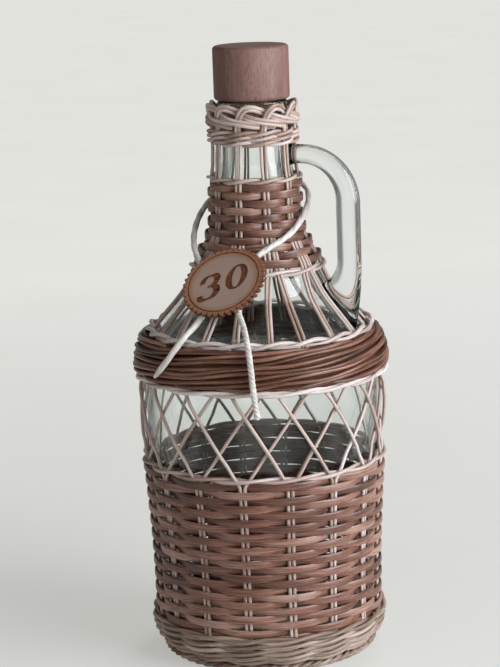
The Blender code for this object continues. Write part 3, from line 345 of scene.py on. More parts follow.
paper, tree, shader, place = new_finish("twisted_paper")
fold = noise(tree, place, (260, 900, 1), 3)
soil = noise(tree, place, (70, 120, 1), 2)
value = blend_of(tree, (fold, 0.8), (soil, 0.8))
colour = shades(tree, value, (0.22, 168, 158, 150), (0.42, 210, 203, 196), (0.75, 238, 234, 230))
feed(tree, shader, {
    "Base Color": colour, "Roughness": 0.5, "Sheen Weight": 0.15, "Normal": bump(tree, fold, 0.5, 0.0003)})


def cord(name, path, lay, lobes, depth, start, ends=None):
    """A cord of twisted plies along a path. Its section is round but for a groove between each two plies, a
    depth times 1 less the square root of a cosine of half the plies' turn, and turns once in each lay."""
    turn = 2 * pi * np.arange(10 * lobes) / (10 * lobes)
    plies = 1 - depth * (1 - np.abs(np.cos(lobes / 2 * turn)) ** 0.5)
    section = np.stack((np.cos(turn), np.sin(turn)), 1) * plies[:, None]
    steps = travelled(path)
    size = CORD_DIAMETER * (np.ones(len(path)) if ends is None else ends(steps, steps[-1]))
    outward = path * (1, 1, 0) + (0, 0, 0.02)
    twist = 2 * pi * steps / lay
    return woven(name, [strand(path, outward, size, size, section, start=start, twist=twist)], paper, 70.0)


def tapered_end(steps, length):
    """Full size but for the last 7 mm, which draw in to a blunt tip."""
    left = length - steps
    return np.interp(left, (0, 0.0006, 0.0022, 0.007), (0.42, 0.58, 0.74, 1.0))


def frayed_end(steps, length):
    """Full size but for the last 4 mm, which are pressed a little wider and then rounded."""
    left = length - steps
    return np.interp(left, (0, 0.0005, 0.0012, 0.0024, 0.0040), (0.55, 0.95, 1.12, 1.08, 1.0))


def on_route(route, step):
    """Points on a smooth curve through a route's bearings in degrees, radii and heights."""
    bearing, radius, height = np.array(route).T
    return smooth_route(round_axis(np.radians(bearing), radius, height), step)


loop_path = on_route(LOOP_ROUTE, 0.0006)
left_path = on_route(LEFT_ROUTE, 0.0004)
right_path = on_route(RIGHT_ROUTE, 0.0004)
tie_loop = cord("tie_loop_cord", loop_path, 0.021, 2, 0.22, 0.0)
end_left = cord("tie_end_left_cord", left_path, 0.034, 2, 0.12, 1.0, tapered_end)
end_right = cord("tie_end_right_cord", right_path, 0.0084, 3, 0.34, 2.0, frayed_end)

across = np.array((-sin(TAG_BEARING), cos(TAG_BEARING), 0.0))
outward = round_axis(TAG_BEARING, cos(TAG_TILT), sin(TAG_TILT))
upward = np.cross(outward, across)
low, high = (np.array(corner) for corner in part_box("tie_knot"))
KNOT_WIDE, KNOT_HIGH, KNOT_DEEP, KNOT_CORD = 0.0040, 0.0034, 0.0008, 0.0032
turn = np.linspace(0, 2 * pi, 160, endpoint=False)
winding = (low + high) / 2 + (
    KNOT_WIDE * ((np.sin(turn) + 2 * np.sin(2 * turn)) / 3)[:, None] * across
    + KNOT_HIGH * ((np.cos(turn) - 2 * np.cos(2 * turn)) / 3)[:, None] * upward
    - KNOT_DEEP * np.sin(3 * turn)[:, None] * outward)
winding = strand(winding, outward + 0 * winding, KNOT_CORD, KNOT_CORD, oval(12), closed=True, start=3.0)
knot = woven("tie_knot_winding", [winding], paper)

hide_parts("tie_loop")
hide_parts("tie_end_left")
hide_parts("tie_end_right")
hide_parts("tie_knot")
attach(tie_loop, "tie")
for piece in (end_left, end_right, knot):
    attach(piece, "tag")


# Glass jug and handle
# One jug of clear glass with a wall of 3.6 mm, blown in a mould, with a handle drawn from the neck,
# round an arch and down onto the cone, where its end spreads on the wall.

RINGS = np.array((
    (.0171, .0642), (.0570, .0648), (.0960, .0668), (.1225, .0689), (.1540, .0708), (.1755, .0708),
    (.1870, .0690), (.1950, .0652), (.2220, .0436), (.2380, .0352), (.2475, .0296), (.2570, .0254),
    (.2670, .0237), (.3000, .0232), (.3190, .0215), (.3344, .0210),
))
LIP_HEIGHT, LIP_RADIUS, BORE_RADIUS = 0.3356, 0.0210, 0.0150
GLASS_WALL, FLOOR_LEVEL, BASE_LEVEL = 0.0036, 0.0116, 0.0071
CORNER_HEIGHT, CORNER_RADIUS, CORNER_CENTRE = 0.0171, 0.0100, 0.0542


def wall(height):
    """Radius of the glass and its slope at a height: a cubic between each two rings of the outline. Its slope
    at a ring is the harmonic mean of those on both sides of it, or level where these differ in sign."""
    levels, radii = RINGS.T
    rise = np.diff(levels)
    lean = np.diff(radii) / rise
    both = lean[:-1] * lean[1:]
    between = np.where(both > 0, 2 * both / np.where(both > 0, lean[:-1] + lean[1:], 1), 0)
    ease = np.concatenate((lean[:1], between, lean[-1:]))
    k = np.clip(np.searchsorted(levels, height, "right") - 1, 0, len(rise) - 1)
    t, h = (height - levels[k]) / rise[k], rise[k]
    radius = ((1 + 2 * t) * (1 - t) ** 2 * radii[k] + t * (1 - t) ** 2 * h * ease[k]
              + t ** 2 * (3 - 2 * t) * radii[k + 1] + t ** 2 * (t - 1) * h * ease[k + 1])
    slope = (6 * t * (t - 1) * (radii[k] - radii[k + 1]) / h + (1 - t) * (1 - 3 * t) * ease[k]
             + t * (3 * t - 2) * ease[k + 1])
    return radius, slope


def off_glass(height, distance):
    """Radius and height of points a distance off the glass, square to its wall. Below the wall they stay
    at their height and go round the rounded corner of the foot."""
    height, distance = np.broadcast_arrays(np.asarray(height, float), distance)
    radius, slope = wall(np.maximum(height, CORNER_HEIGHT))
    size = np.sqrt(1 + slope ** 2)
    drop = np.clip(CORNER_HEIGHT - height, 0, CORNER_RADIUS)
    corner = CORNER_CENTRE + np.sqrt(np.maximum((CORNER_RADIUS + distance) ** 2 - drop ** 2, 0))
    low = height < CORNER_HEIGHT
    radius, level = radius + distance / size, height - distance * slope / size
    return np.where(low, corner, radius), np.where(low, height, level)


def faced_outward(item, joined=None):
    """Turn all faces of a piece outward, after points that lie closer together than a distance are joined."""
    form = bmesh.new()
    form.from_mesh(item.data)
    if joined:
        bmesh.ops.remove_doubles(form, verts=form.verts, dist=joined)
    bmesh.ops.recalc_face_normals(form, faces=form.faces)
    form.to_mesh(item.data)
    form.free()


def combined(item, other, operation, **settings):
    """Add another piece to a piece, or cut it out, and remove the other one."""
    change = item.modifiers.new("change", "BOOLEAN")
    change.operation, change.object = operation, other
    for name, value in settings.items():
        setattr(change, name, value)
    with bpy.context.temp_override(object=item, active_object=item):
        bpy.ops.object.modifier_apply(modifier=change.name)
    bpy.data.objects.remove(other, do_unlink=True)


def turned(name, outline, count, finish):
    """An outline of (radius, height) turned about the bottle's axis. It runs with the piece on its left,
    closes on itself, and may touch the axis at its ends."""
    outline = np.asarray(outline, float)
    bearing = 2 * pi * np.arange(count) / count
    rings = round_axis(bearing[:, None], outline[None, :, 0], outline[None, :, 1])
    along = np.append(bearing, 2 * pi) * float(outline[:, 0].max())
    around = travelled(np.concatenate((outline, outline[:1])))
    item = woven(name, [(rings, along, around, True)], finish, 40.0)
    faced_outward(item, 1e-7)
    return item


def quarters(count):
    """Points of a circle of radius 1, from its lowest point to its side, and on to its highest one."""
    turn = np.linspace(0, pi / 2, count)
    return np.stack((np.sin(turn), -np.cos(turn)), 1), np.stack((np.cos(turn), np.sin(turn)), 1)


glass, tree, shader, place = new_finish("clear_glass_wall", "TexCoord")
ripple = noise(tree, place, (38, 38, 14), 1)
feed(tree, shader, {
    "Base Color": shades(tree, ripple, (0.3, 246, 250, 248), (0.7, 250, 252, 251)),
    "Transmission Weight": 1.0, "Roughness": 0.0, "IOR": 1.5, "Normal": bump(tree, ripple, 0.05, 0.0030)})

INSIDE_CORNER, LIP_EDGE, PUNT_RADIUS, PUNT_RISE = 0.0064, 0.0014, 0.046, 0.007
CONE_LOW, CONE_HIGH, INSIDE_LOW, INSIDE_HIGH = 0.170, 0.275, 0.024, 0.262
outer_levels = np.concatenate((
    np.linspace(CORNER_HEIGHT, CONE_LOW, 26)[:-1], np.linspace(CONE_LOW, CONE_HIGH, 44)[:-1],
    np.linspace(CONE_HIGH, RINGS[-1, 0], 16)))
outer = np.stack((wall(outer_levels)[0], outer_levels), 1)
inner_levels = outer_levels[(outer_levels > INSIDE_LOW) & (outer_levels < INSIDE_HIGH)]
inner = np.stack(off_glass(inner_levels, -GLASS_WALL), 1)
lower, upper = quarters(9)
inside_corner = (CORNER_CENTRE, FLOOR_LEVEL + INSIDE_CORNER) + INSIDE_CORNER * lower
outside_corner = (CORNER_CENTRE, CORNER_HEIGHT) + CORNER_RADIUS * lower[:-1]
lip = (LIP_RADIUS - LIP_EDGE, LIP_HEIGHT - LIP_EDGE) + LIP_EDGE * upper
mouth = (BORE_RADIUS + LIP_EDGE, LIP_HEIGHT - LIP_EDGE) - LIP_EDGE * lower
share = np.linspace(0, 1, 8)[:, None]
punt = np.concatenate((PUNT_RADIUS * share, PUNT_RISE * (1 - share ** 2)), 1)
neck_inside = smooth_route((
    inner[-1], (0.0186, 0.2700), (0.0180, 0.2850), (0.0158, 0.2945), (BORE_RADIUS, 0.3010)), 0.002)[1:]
jug = turned("glass_jug_wall", np.concatenate((
    punt + (0, BASE_LEVEL), outside_corner, outer[:-1], lip, mouth, neck_inside[::-1], inner[::-1],
    inside_corner[::-1], punt[::-1] + (0, FLOOR_LEVEL))), 96, glass)

REACH, ARCH, TOP_LEVEL, ROOT_HALF, LEG_HALF = 0.0587, 0.0280, 0.3036, 0.0057, 0.00735
LEG_HIGH, LEG_LOW, LEG_END, LEG_WIDTH = 0.272, 0.2455, 0.2420, 0.0120
ARCH_STEPS, LEG_STEPS, FOOT_STEPS, BAR_SIDES = 180, 40, 72, 112
root, root_half, root_width = np.array((
    (.0213, .0082, .0142), (.0232, .0070, .0122), (.0252, .0062, .0106), (.0274, .0058, .0097))).T
bend = np.linspace(pi / 2, 0, ARCH_STEPS)
way = np.stack((np.cos(bend), np.sin(bend)), 1)
grown = np.linspace(0, 1, ARCH_STEPS)
share = np.linspace(0, 1, FOOT_STEPS)[:, None]


def bar_side(side, knee, foot):
    """The handle's inner side, -1, or outer side, 1: from the root round an arch, in which the bar gets
    evenly thicker, down the leg, and to the foot in a parabola that sets out toward the knee."""
    leg = REACH + side * LEG_HALF
    half = ROOT_HALF + (LEG_HALF - ROOT_HALF) * grown
    return np.concatenate((
        np.stack((root, TOP_LEVEL + side * root_half), 1),
        (REACH - ARCH, TOP_LEVEL - ARCH) + way * (ARCH + side * half)[:, None],
        np.stack((np.full(LEG_STEPS, leg), np.linspace(LEG_HIGH, LEG_LOW, LEG_STEPS)), 1),
        (1 - share) ** 2 * (leg, LEG_END) + 2 * share * (1 - share) * (leg, knee) + share ** 2 * foot))


foot_inner, foot_outer = np.array(off_glass(0.2260, -0.0018)), np.array(off_glass(0.1985, -0.0018))
inner_side = bar_side(-1, 0.2300, foot_inner)
outer_side = bar_side(1, (LEG_END + foot_outer[1]) / 2, foot_outer)
width = np.concatenate((
    root_width, 0.0094 + 0.0026 * grown, np.full(LEG_STEPS, LEG_WIDTH),
    LEG_WIDTH - 0.0014 * share[:, 0] + 0.004 * share[:, 0] ** 8))
turn = 2 * pi * np.arange(BAR_SIDES) / BAR_SIDES
middle, reach = (inner_side + outer_side) / 2, (outer_side - inner_side) / 2
rings = np.stack((
    middle[:, None, 0] + reach[:, None, 0] * np.cos(turn), 0.5 * width[:, None] * np.sin(turn),
    middle[:, None, 1] + reach[:, None, 1] * np.cos(turn)), -1)
along, around = np.arange(len(rings)) * 0.001, np.arange(BAR_SIDES + 1) * 0.0004
handle = woven("glass_handle_bar", [(rings, along, around, False)], glass)
faced_outward(handle)
combined(jug, handle, "UNION")
jug.data.set_sharp_from_angle(angle=radians(60.0))
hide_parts("glass_jug", "glass_neck", "glass_handle")
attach(jug, "covered_jug")


# Canes of the body
# Sixteen peeled canes are folded in two under the foot. Their legs stand in pairs in the weave, part above it
# and cross in a lattice up to the shoulder band, the left-hand legs lying over the right-hand ones.

CANE_DIAMETER, PAIR_SPACING, BODY_STATIONS = 0.0021, 0.0027, 16
LATTICE_LOW, LATTICE_HIGH = 0.1168, 0.1732
LEFT_LEAN, RIGHT_LEAN, OVER_LIFT = radians(26.5), radians(32.0), 0.0021
LEG_SECTION = oval(10)


def round_strand(bearing, radius, height, wide, thick, section=LEG_SECTION, **more):
    """A strand through points at bearings, radii and heights, with its thickness off the bottle."""
    path, outward = round_axis(bearing, radius, height), round_axis(bearing, 1.0, 0.0)
    return strand(path, outward, wide, thick, section, **more)


def cane_finish(name, dark, middle, light, rough, fibre=1.0, gloss=0.5, coat=0.3):
    """Cane: fibres drawn out along the strand, slower light and dark lengths, a tone from strand to strand,
    and a few dark nicks."""
    finish, tree, shader, place = new_finish(name)
    fibres = noise(tree, place, (45, 1500 * fibre, 1), 3, 0.6)
    hairs = noise(tree, place, (160, 5200 * fibre, 1), 2, 0.6)
    lengths = noise(tree, place, (11, 60, 1), 2)
    tone = noise(tree, place, (2.1, 8, 1), 1)
    value = blend_of(tree, (fibres, 1.0), (hairs, 0.6), (lengths, 1.0), (tone, 1.1))
    colour = shades(tree, value, (0.20, *dark), (0.5, *middle), (0.80, *light))
    nicks = drawn_out(tree, noise(tree, place, (330, 900, 1), 1), 0.70, 0.78, 0.0, 0.55)
    nick_colour = tuple(0.35 * part for part in tint(*dark)[:3]) + (1.0,)
    uneven = blend_of(tree, (fibres, 0.8), (lengths, 0.6))
    feed(tree, shader, {
        "Base Color": mixed(tree, nicks, colour, nick_colour),
        "Roughness": drawn_out(tree, uneven, 0.0, 1.0, rough - 0.14, rough + 0.16),
        "Specular IOR Level": gloss, "Coat Weight": coat, "Coat Roughness": 0.36,
        "Normal": bump(tree, blend_of(tree, (fibres, 0.7), (hairs, 0.5)), 0.6, 0.00025)})
    return finish


light_cane = cane_finish("peeled_cane", (142, 110, 92), (190, 167, 155), (224, 212, 209), 0.42)


def eased(value, low, high):
    """0 below low, 1 above high, and a smooth step between them."""
    t = np.clip((value - low) / (high - low), 0, 1)
    return t * t * (3 - 2 * t)


def body_leg(station, side):
    """One leg from under the foot to behind the shoulder band: it leans to its side by a share of the
    lattice's height to the power 1.04, and the left-hand leg rises over the other one between its ends."""
    rng = np.random.default_rng(100 + 2 * station + (side > 0))
    foot, ring, top = 0.0095, 0.116, 0.1785
    levels = np.concatenate((np.linspace(foot, ring, 40)[:-1], np.linspace(ring, top, 56)))
    rise = (levels - LATTICE_LOW) / (LATTICE_HIGH - LATTICE_LOW)
    lean = (RIGHT_LEAN if side > 0 else LEFT_LEAN) + radians(rng.uniform(-0.9, 0.9))
    over = OVER_LIFT * eased(rise, 0.08, 0.34) * (1 - eased(rise, 0.84, 1.02)) if side < 0 else 0.0
    stand_off = 0.0033 - 0.0018 * eased(levels, 0.122, 0.132) + 0.0003 * eased(levels, 0.168, 0.173) + over
    radius, height = off_glass(levels, stand_off)
    spread = (PAIR_SPACING + rng.uniform(-0.0002, 0.0002)) / 2
    aside = spread / radius + lean * np.clip(rise, 0, None) ** 1.04
    bearing = 2 * pi * (station + 0.5) / BODY_STATIONS + side * aside
    waver = 0.0004 / radius * np.sin(levels / 0.019 + rng.uniform(0, 6))
    bearing = bearing + waver * eased(levels, 0.12, 0.13)
    size = CANE_DIAMETER * rng.uniform(0.94, 1.04)
    return round_strand(bearing, radius, height, size, size, start=1.7 * (2 * station + side))


legs = [body_leg(station, side) for station in range(BODY_STATIONS) for side in (-1, 1)]
body_canes = woven("body_canes", legs, light_cane)
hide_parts(*(f"body_cane_{number:02d}" for number in range(1, 17)))
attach(body_canes, "covered_jug")


# Body weave
# Twenty-two rows of flat brown cane go over one pair of stakes and under the next one, each row the opposite
# of the row below it. One more row lies hidden behind the edge of the base weave.

BODY_WEAVE = dict(rows=22, low=0.0241, high=0.1189, stations=BODY_STATIONS, middle=0.0033, swing=0.0020,
                  dive=1.6, wide=0.0046, thick=0.0015, samples=320, seed=500)
HIDDEN_ROW = BODY_WEAVE | dict(middle=0.0022, swing=0.0006, wide=0.00445, thick=0.0012)
FLAT_SECTION = oval(12, 3.6)
brown_cane = cane_finish("stained_cane", (66, 40, 31), (126, 83, 66), (178, 142, 128), 0.34)


def sway(bearing, size, rng):
    """A small uneven wave round the bottle: a size over 1.6 times the sum of cosines of two to nine waves with
    chance phases, each over the square root of its number of waves."""
    waves = np.arange(2, 10)
    phases = rng.uniform(0, 2 * pi, len(waves))
    return size * (np.cos(np.multiply.outer(bearing, waves) + phases) / np.sqrt(waves)).sum(-1) / 1.6


def woven_row(row, rows, low, high, stations, middle, swing, dive, wide, thick, samples, seed):
    """A closed row, whose ends meet at a chance place. Its distance off the glass is highest at every other
    station and lowest at the ones between: with w for the share of the way down that a cosine gives, it is a
    middle plus a swing times 1 - 2 x w to the power dive."""
    rng = np.random.default_rng(seed + row)
    bearing = 2 * pi * (np.arange(samples) / samples + rng.uniform())
    step = (high - low) / rows
    level = low + (row + 0.5) * step + sway(bearing, 0.06 * step, rng)
    wave = 1 - 2 * (0.5 - 0.5 * np.cos(stations / 2 * bearing - pi / 2) * (-1) ** row) ** dive
    radius, height = off_glass(level, middle + swing * wave + sway(bearing, 0.00008, rng))
    size, start = wide * (1 + sway(bearing, 0.035, rng)), 2.3 * row + 0.7 * seed
    return round_strand(bearing, radius, height, size, thick, FLAT_SECTION, closed=True, start=start)


rows = [woven_row(row, **BODY_WEAVE) for row in range(BODY_WEAVE["rows"])] + [woven_row(-1, **HIDDEN_ROW)]
body_weave = woven("body_weave_rows", rows, brown_cane)
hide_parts("body_weave")
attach(body_weave, "covered_jug")


# Neck canes
# Two folded canes stand at each of ten stations of the neck. Their long legs run in pairs up the cone,
# through the neck weave and into the plaited border; the short ones end behind the weave.

NECK_STATIONS, NECK_SPACING, NECK_CANE_DIAMETER = 10, 0.0023, 0.0019
NECK_FOOT, CONE_FOOT, CONE_TOP, LONG_TOP, SHORT_TOP = 0.1862, 0.195, 0.238, 0.3186, 0.2560
NECK_STAND_OFF = np.array((
    (.183, .0030), (.194, .0016), (.232, .0016), (.239, .0026), (.286, .0026), (.291, .0024), (.297, .0016),
    (.305, .0016), (.312, .0024), (.317, .0030), (.330, .0032),
))


def neck_leg(station, side, step, top):
    """One leg of a folded cane: at the foot the cane's two legs stand side by side halfway to the next
    station, and they close up to the station's middle line on the way up the cone."""
    rng = np.random.default_rng(900 + 40 * station + 10 * step + side)
    levels = np.linspace(NECK_FOOT, top, int((top - NECK_FOOT) / 0.0016))
    radius, height = off_glass(levels, np.interp(levels, *NECK_STAND_OFF.T))
    foot_radius = off_glass(CONE_FOOT, 0.0015)[0]
    near = 0.0025 + (step - 2) * NECK_SPACING / 2
    foot = foot_radius * pi / NECK_STATIONS / 2 + (step - 2) * NECK_SPACING / 2
    rise = (levels - CONE_FOOT) / (CONE_TOP - CONE_FOOT)
    offset = np.where(rise < 0, foot * radius / foot_radius, near + (foot - near) * np.clip(1 - rise, 0, 1))
    offset = offset + 0.0003 * np.sin(levels / 0.017 + rng.uniform(0, 6)) * eased(levels, 0.19, 0.2)
    bearing = 2 * pi * (station + 0.5) / NECK_STATIONS + side * offset / radius
    size = NECK_CANE_DIAMETER * rng.uniform(0.94, 1.06)
    return round_strand(bearing, radius, height, size, size, start=100 + 1.3 * (4 * station + side + step))


legs = [neck_leg(station, side, step, top) for station in range(NECK_STATIONS) for side in (-1, 1)
        for step, top in ((1, LONG_TOP), (3, SHORT_TOP))]
neck_canes = woven("neck_canes", legs, light_cane)
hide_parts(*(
    f"neck_cane_{number:02d}_{side}" for number in range(1, 11) for side in ("left", "right")))
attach(neck_canes, "covered_jug")


# Neck weave
# Eleven rows of thinner and flatter brown cane are woven over and under the ten pairs of the neck.
# They stand in the same order as the body's rows, each the opposite of the row below it.

NECK_WEAVE = dict(rows=11, low=0.2374, high=0.2882, stations=NECK_STATIONS, middle=0.0026, swing=0.0019,
                  dive=2.0, wide=0.0048, thick=0.0012, samples=240, seed=700)
flat_cane = cane_finish("stained_flat_cane", (62, 38, 29), (120, 80, 64), (172, 137, 122), 0.34, 0.8)
rows = [woven_row(row, **NECK_WEAVE) for row in range(NECK_WEAVE["rows"])]
neck_weave = woven("neck_weave_rows", rows, flat_cane)
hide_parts("neck_weave")
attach(neck_weave, "covered_jug")


# Twined rings and collar
# Thin peeled canes are twined in pairs round the stakes, one in front of each station and one behind it: a
# ring above the body weave, one on each side of the band and of the neck weave, and a collar of three rows
# under the border.

def twined(placed, turns, size, samples, start, phase):
    """Two strands that go round one another, half a turn apart: placed gives their radius and height
    from their bearing and their turn about one another."""
    found = []
    for ply in range(2):
        rng = np.random.default_rng(int(start * 10) + ply)
        bearing = 2 * pi * (np.arange(samples) / samples + rng.uniform())
        radius, height = placed(bearing, turns * bearing + pi * ply + phase, rng)
        wide = size * (1 + sway(bearing, 0.05, rng))
        found.append(round_strand(bearing, radius, height, wide, wide, closed=True, start=start + 1.9 * ply))
    return found


def ring_at(level, stand_off, swing, lift):
    """Place of a ring's strands: a cosine of their turn off the glass and a sine in height."""
    def placed(bearing, turn, rng):
        height = level + lift * np.sin(turn) + sway(bearing, 0.00012, rng)
        return off_glass(height, stand_off + swing * np.cos(turn))
    return placed


AT_STATION = -pi / 2
# A paler copy of the peeled cane for the shoulder rings and the lower neck ring: its extra whiteness is
# painted sheen, for the window light on these rings.
pale_cane = cane_finish("pale_cane", (156, 130, 116), (209, 192, 184), (238, 230, 230), 0.42)
# Name, finish, turns round one another, size of the canes, points round the bottle, and for each row its
# level, distance off the glass, swing, lift, start and phase
RINGS_OF_CANE = (
    ("body_ring", light_cane, 8, .0022, 288, ((.1208, .0034, .0021, .0009, 20.0, AT_STATION),)),
    ("shoulder_ring_lower", pale_cane, 8, .0024, 288, ((.1729, .0041, .0012, .0010, 26.0, 1.2),)),
    ("shoulder_ring_upper", pale_cane, 10, .0026, 320, ((.1974, .0034, .0019, .0012, 32.0, AT_STATION),)),
    ("neck_ring_lower", pale_cane, 5, .0021, 200, ((.2352, .0026, .0018, .0010, 38.0, AT_STATION),)),
    ("neck_ring_upper", light_cane, 5, .0021, 200, ((.2897, .0026, .0020, .0009, 44.0, pi + AT_STATION),)),
    ("neck_collar", light_cane, 5, .0021, 200, (
        (.3114, .0025, .0020, .0010, 50.0, AT_STATION), (.3143, .0028, .0021, .0010, 56.0, pi + AT_STATION),
        (.3172, .0031, .0021, .0012, 62.0, AT_STATION))),
)
for name, finish, turns, size, samples, rows in RINGS_OF_CANE:
    strands = []
    for *where, start, phase in rows:
        strands += twined(ring_at(*where), turns, size, samples, start, phase)
    ring = woven(name + "_canes", strands, finish)
    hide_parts(name)
    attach(ring, "covered_jug")


# Shoulder band
# Fourteen dark canes lie side by side over the ends of the body canes and the folds of the neck canes, and
# over fourteen more that fill the gaps between them and are painted darker, as painted shade. Each comes out
# at the lower edge, climbs to the right for more than half the way round and ends behind the upper edge.

BAND_LOW, BAND_HIGH, BAND_ROWS, BAND_CANES, BAND_CANE_DIAMETER = 0.1748, 0.1953, 8, 14, 0.0025
dark_cane = cane_finish("dark_stained_cane", (42, 24, 17), (108, 69, 52), (170, 127, 108), 0.31)
# The under layer is the same dark-stained cane, painted darker and without coat: painted shade for the gaps
# between the outer canes.
under_cane = cane_finish("cane_with_painted_shade", (34, 18, 11), (76, 45, 33), (122, 86, 70), 0.6, gloss=0.15, coat=0.0)
band_levels = np.linspace(BAND_LOW, BAND_HIGH, 200)
band_travel = travelled(np.stack(off_glass(band_levels, 0.0061), 1))


def climbing(number, under):
    """A cane of the band. Its way up the band's outside is even with its bearing, from half a cane above the
    lower edge to half a cane under the upper one, and it dips in behind its neighbours at both ends. Every
    other cane lies a little further out. One of the under layer is flatter, and half a cane further round."""
    rng = np.random.default_rng(700 + number + 50 * under)
    share = np.linspace(-0.07, 1.07, 260)
    bearing = 2 * pi * (number + 0.5 * under + BAND_ROWS * share) / BAND_CANES
    uneven = sway(bearing, 0.0003 if under else 0.00095, rng)
    way = BAND_CANE_DIAMETER / 2 + (band_travel[-1] - BAND_CANE_DIAMETER) * np.clip(share, 0, 1)
    way = way + uneven * eased(share, 0.0, 0.12) * eased(share, 1.0, 0.88)
    level = np.interp(way, band_travel, band_levels)
    out = 0.0010 if under else 0.0025 + 0.0005 * (number % 2)
    deep = eased(share, -0.07, 0.02) * eased(share, 1.07, 0.98)
    radius, height = off_glass(level, 0.0031 + out * deep + sway(bearing, 0.00025, rng))
    wide = BAND_CANE_DIAMETER * (1.5 if under else 1.0) * (1 + sway(bearing, 0.06, rng))
    thick, start = 0.0018 if under else 0.0030, 70 + 2.9 * number + 40 * under
    path, outward = round_axis(bearing, radius, height), round_axis(bearing, 1.0, 0.3)
    return strand(path, outward, wide, thick, oval(12), start=start)


canes = [climbing(number, under) for under in (0, 1) for number in range(BAND_CANES)]
band = woven("shoulder_band_canes", canes, dark_cane)
# The second half of the faces, the under layer, takes the cane with painted shade.
band.data.materials.append(under_cane)
count = len(band.data.polygons)
band.data.polygons.foreach_set("material_index", (np.arange(count) >= count // 2).astype(np.int32))
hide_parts("shoulder_band")
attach(band, "covered_jug")


# Base weave, foot border and mat
# Five rows of aged canes are twined in pairs round the stakes and round the corner of the foot, over a
# thicker rope that stands on the floor. A round woven mat lies under the glass.

WALL_TRAVEL, BASE_ROWS, ROPE_PLIES, ROPE_TURNS, MAT_ROWS, MAT_SPOKES = 0.0067, 5, 4, 14, 13, 16
MAT_LEVEL, MAT_REACH, UPRIGHT, MAT_SECTION = 0.0040, 0.0565, (0.0, 0.0, 1.0), oval(8, 2.6)
aged_cane = cane_finish("aged_cane", (98, 77, 64), (157, 135, 120), (205, 187, 174), 0.48)


def foot_at(travel, stand_off, swing, lift):
    """Place of strands like a ring's, but along the wall: travel is the way from the top edge of the base
    weave down the wall and then round its rounded corner."""
    def placed(bearing, turn, rng):
        off = stand_off + swing * np.cos(turn) + sway(bearing, 0.0001, rng)
        down = travel - lift * np.sin(turn) + sway(bearing, 0.0002, rng) - WALL_TRAVEL
        lean = np.clip(down, 0, None) / (CORNER_RADIUS + stand_off)
        radius = CORNER_CENTRE + (CORNER_RADIUS + off) * np.cos(lean)
        return radius, CORNER_HEIGHT - (CORNER_RADIUS + off) * np.sin(lean) - np.clip(down, None, 0)
    return placed


strands = []
for row in range(BASE_ROWS):
    placed = foot_at(0.0022 + 0.0038 * row, 0.0062 - 0.0005 * row, 0.0014, 0.0012)
    strands += twined(placed, BODY_STATIONS / 2, 0.0026, 320, 100.0 + 6 * row, AT_STATION + pi * (row % 2))
base = woven("base_weave_canes", strands, aged_cane)

strands = []
for ply in range(ROPE_PLIES):
    bearing = 2 * pi * (np.arange(320) / 320 + 0.23 * ply)
    turn = ROPE_TURNS * bearing + 2 * pi * ply / ROPE_PLIES
    path = round_axis(bearing, 0.0616 + 0.0030 * np.cos(turn), 0.00243 + 0.0010 * np.sin(turn))
    strands.append(strand(path, UPRIGHT, 0.0030, 0.0026, LEG_SECTION, closed=True, start=130.0 + 2 * ply))
border = woven("foot_border_rope", strands, aged_cane)

strands = []
for row in range(MAT_ROWS):
    count = max(48, 16 * (row + 2))
    bearing = 2 * pi * np.arange(count) / count
    wave = 0.0011 * np.cos(MAT_SPOKES / 2 * bearing) * (-1) ** row
    path = round_axis(bearing, 0.0055 + 0.0042 * row, MAT_LEVEL + wave)
    strands.append(strand(path, UPRIGHT, 0.0037, 0.0017, MAT_SECTION, closed=True, start=150.0 + 2 * row))
for spoke in range(MAT_SPOKES):
    reach = np.linspace(0.0015 if spoke % 4 == 0 else 0.006, MAT_REACH, 30)
    path = round_axis(2 * pi * (spoke + 0.5) / MAT_SPOKES, reach, MAT_LEVEL)
    strands.append(strand(path, UPRIGHT, 0.0030, 0.0012, MAT_SECTION, start=190.0 + spoke))
mat = woven("base_mat_weave", strands, aged_cane)
for piece, name, slot in (
        (base, "base_weave", "light_cane"), (border, "foot_border", "light_cane"),
        (mat, "base_mat", "brown_cane")):
    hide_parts(name)
    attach(piece, "covered_jug")


# Plaited border
# The ten pairs of neck canes are bent to the right above the collar and plaited. Each pair arches over the
# start of the next one, passes behind its arch, and comes out and slants down in front of the pair after it.

PLAIT_RADIUS, PLAIT_SPACING, PLAIT_CANE_DIAMETER = 0.0285, 0.00215, 0.0022
PLAIT = np.array((
    (0.00, .3174, .0032), (0.01, .3203, .0031), (0.03, .3234, .0034), (0.08, .3266, .0042),
    (0.17, .3297, .0051), (0.30, .3320, .0056), (0.47, .3329, .0055), (0.67, .3324, .0045),
    (0.87, .3311, .0031), (1.06, .3297, .0024), (1.24, .3284, .0032), (1.44, .3271, .0047),
    (1.70, .3258, .0056), (1.98, .3247, .0059), (2.30, .3238, .0057), (2.60, .3230, .0052),
    (2.84, .3224, .0048),
))


def plaited(station, side):
    """One cane of a pair along the plait's route, half a cane's spacing to its side of the route."""
    rng = np.random.default_rng(1300 + 2 * station + (side > 0))
    route = PLAIT * (2 * pi / NECK_STATIONS * PLAIT_RADIUS, 1, 1)
    path = smooth_route(route + rng.normal(0, 0.00008, route.shape), 0.0006)
    ahead = np.gradient(path[:, :2], axis=0)
    ahead /= np.linalg.norm(ahead, axis=1, keepdims=True)
    flat = path[:, :2] + side * PLAIT_SPACING / 2 * np.stack((-ahead[:, 1], ahead[:, 0]), 1)
    radius = off_glass(np.minimum(flat[:, 1], RINGS[-1, 0]), path[:, 2])[0]
    bearing = 2 * pi * (station + 0.5) / NECK_STATIONS + flat[:, 0] / PLAIT_RADIUS
    size, start = PLAIT_CANE_DIAMETER, 220 + 1.1 * (2 * station + side)
    return round_strand(bearing, radius, flat[:, 1], size, size, start=start)


canes = [plaited(station, side) for station in range(NECK_STATIONS) for side in (-1, 1)]
plait = woven("neck_border_plait", canes, light_cane)
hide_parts("neck_border")
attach(plait, "covered_jug")


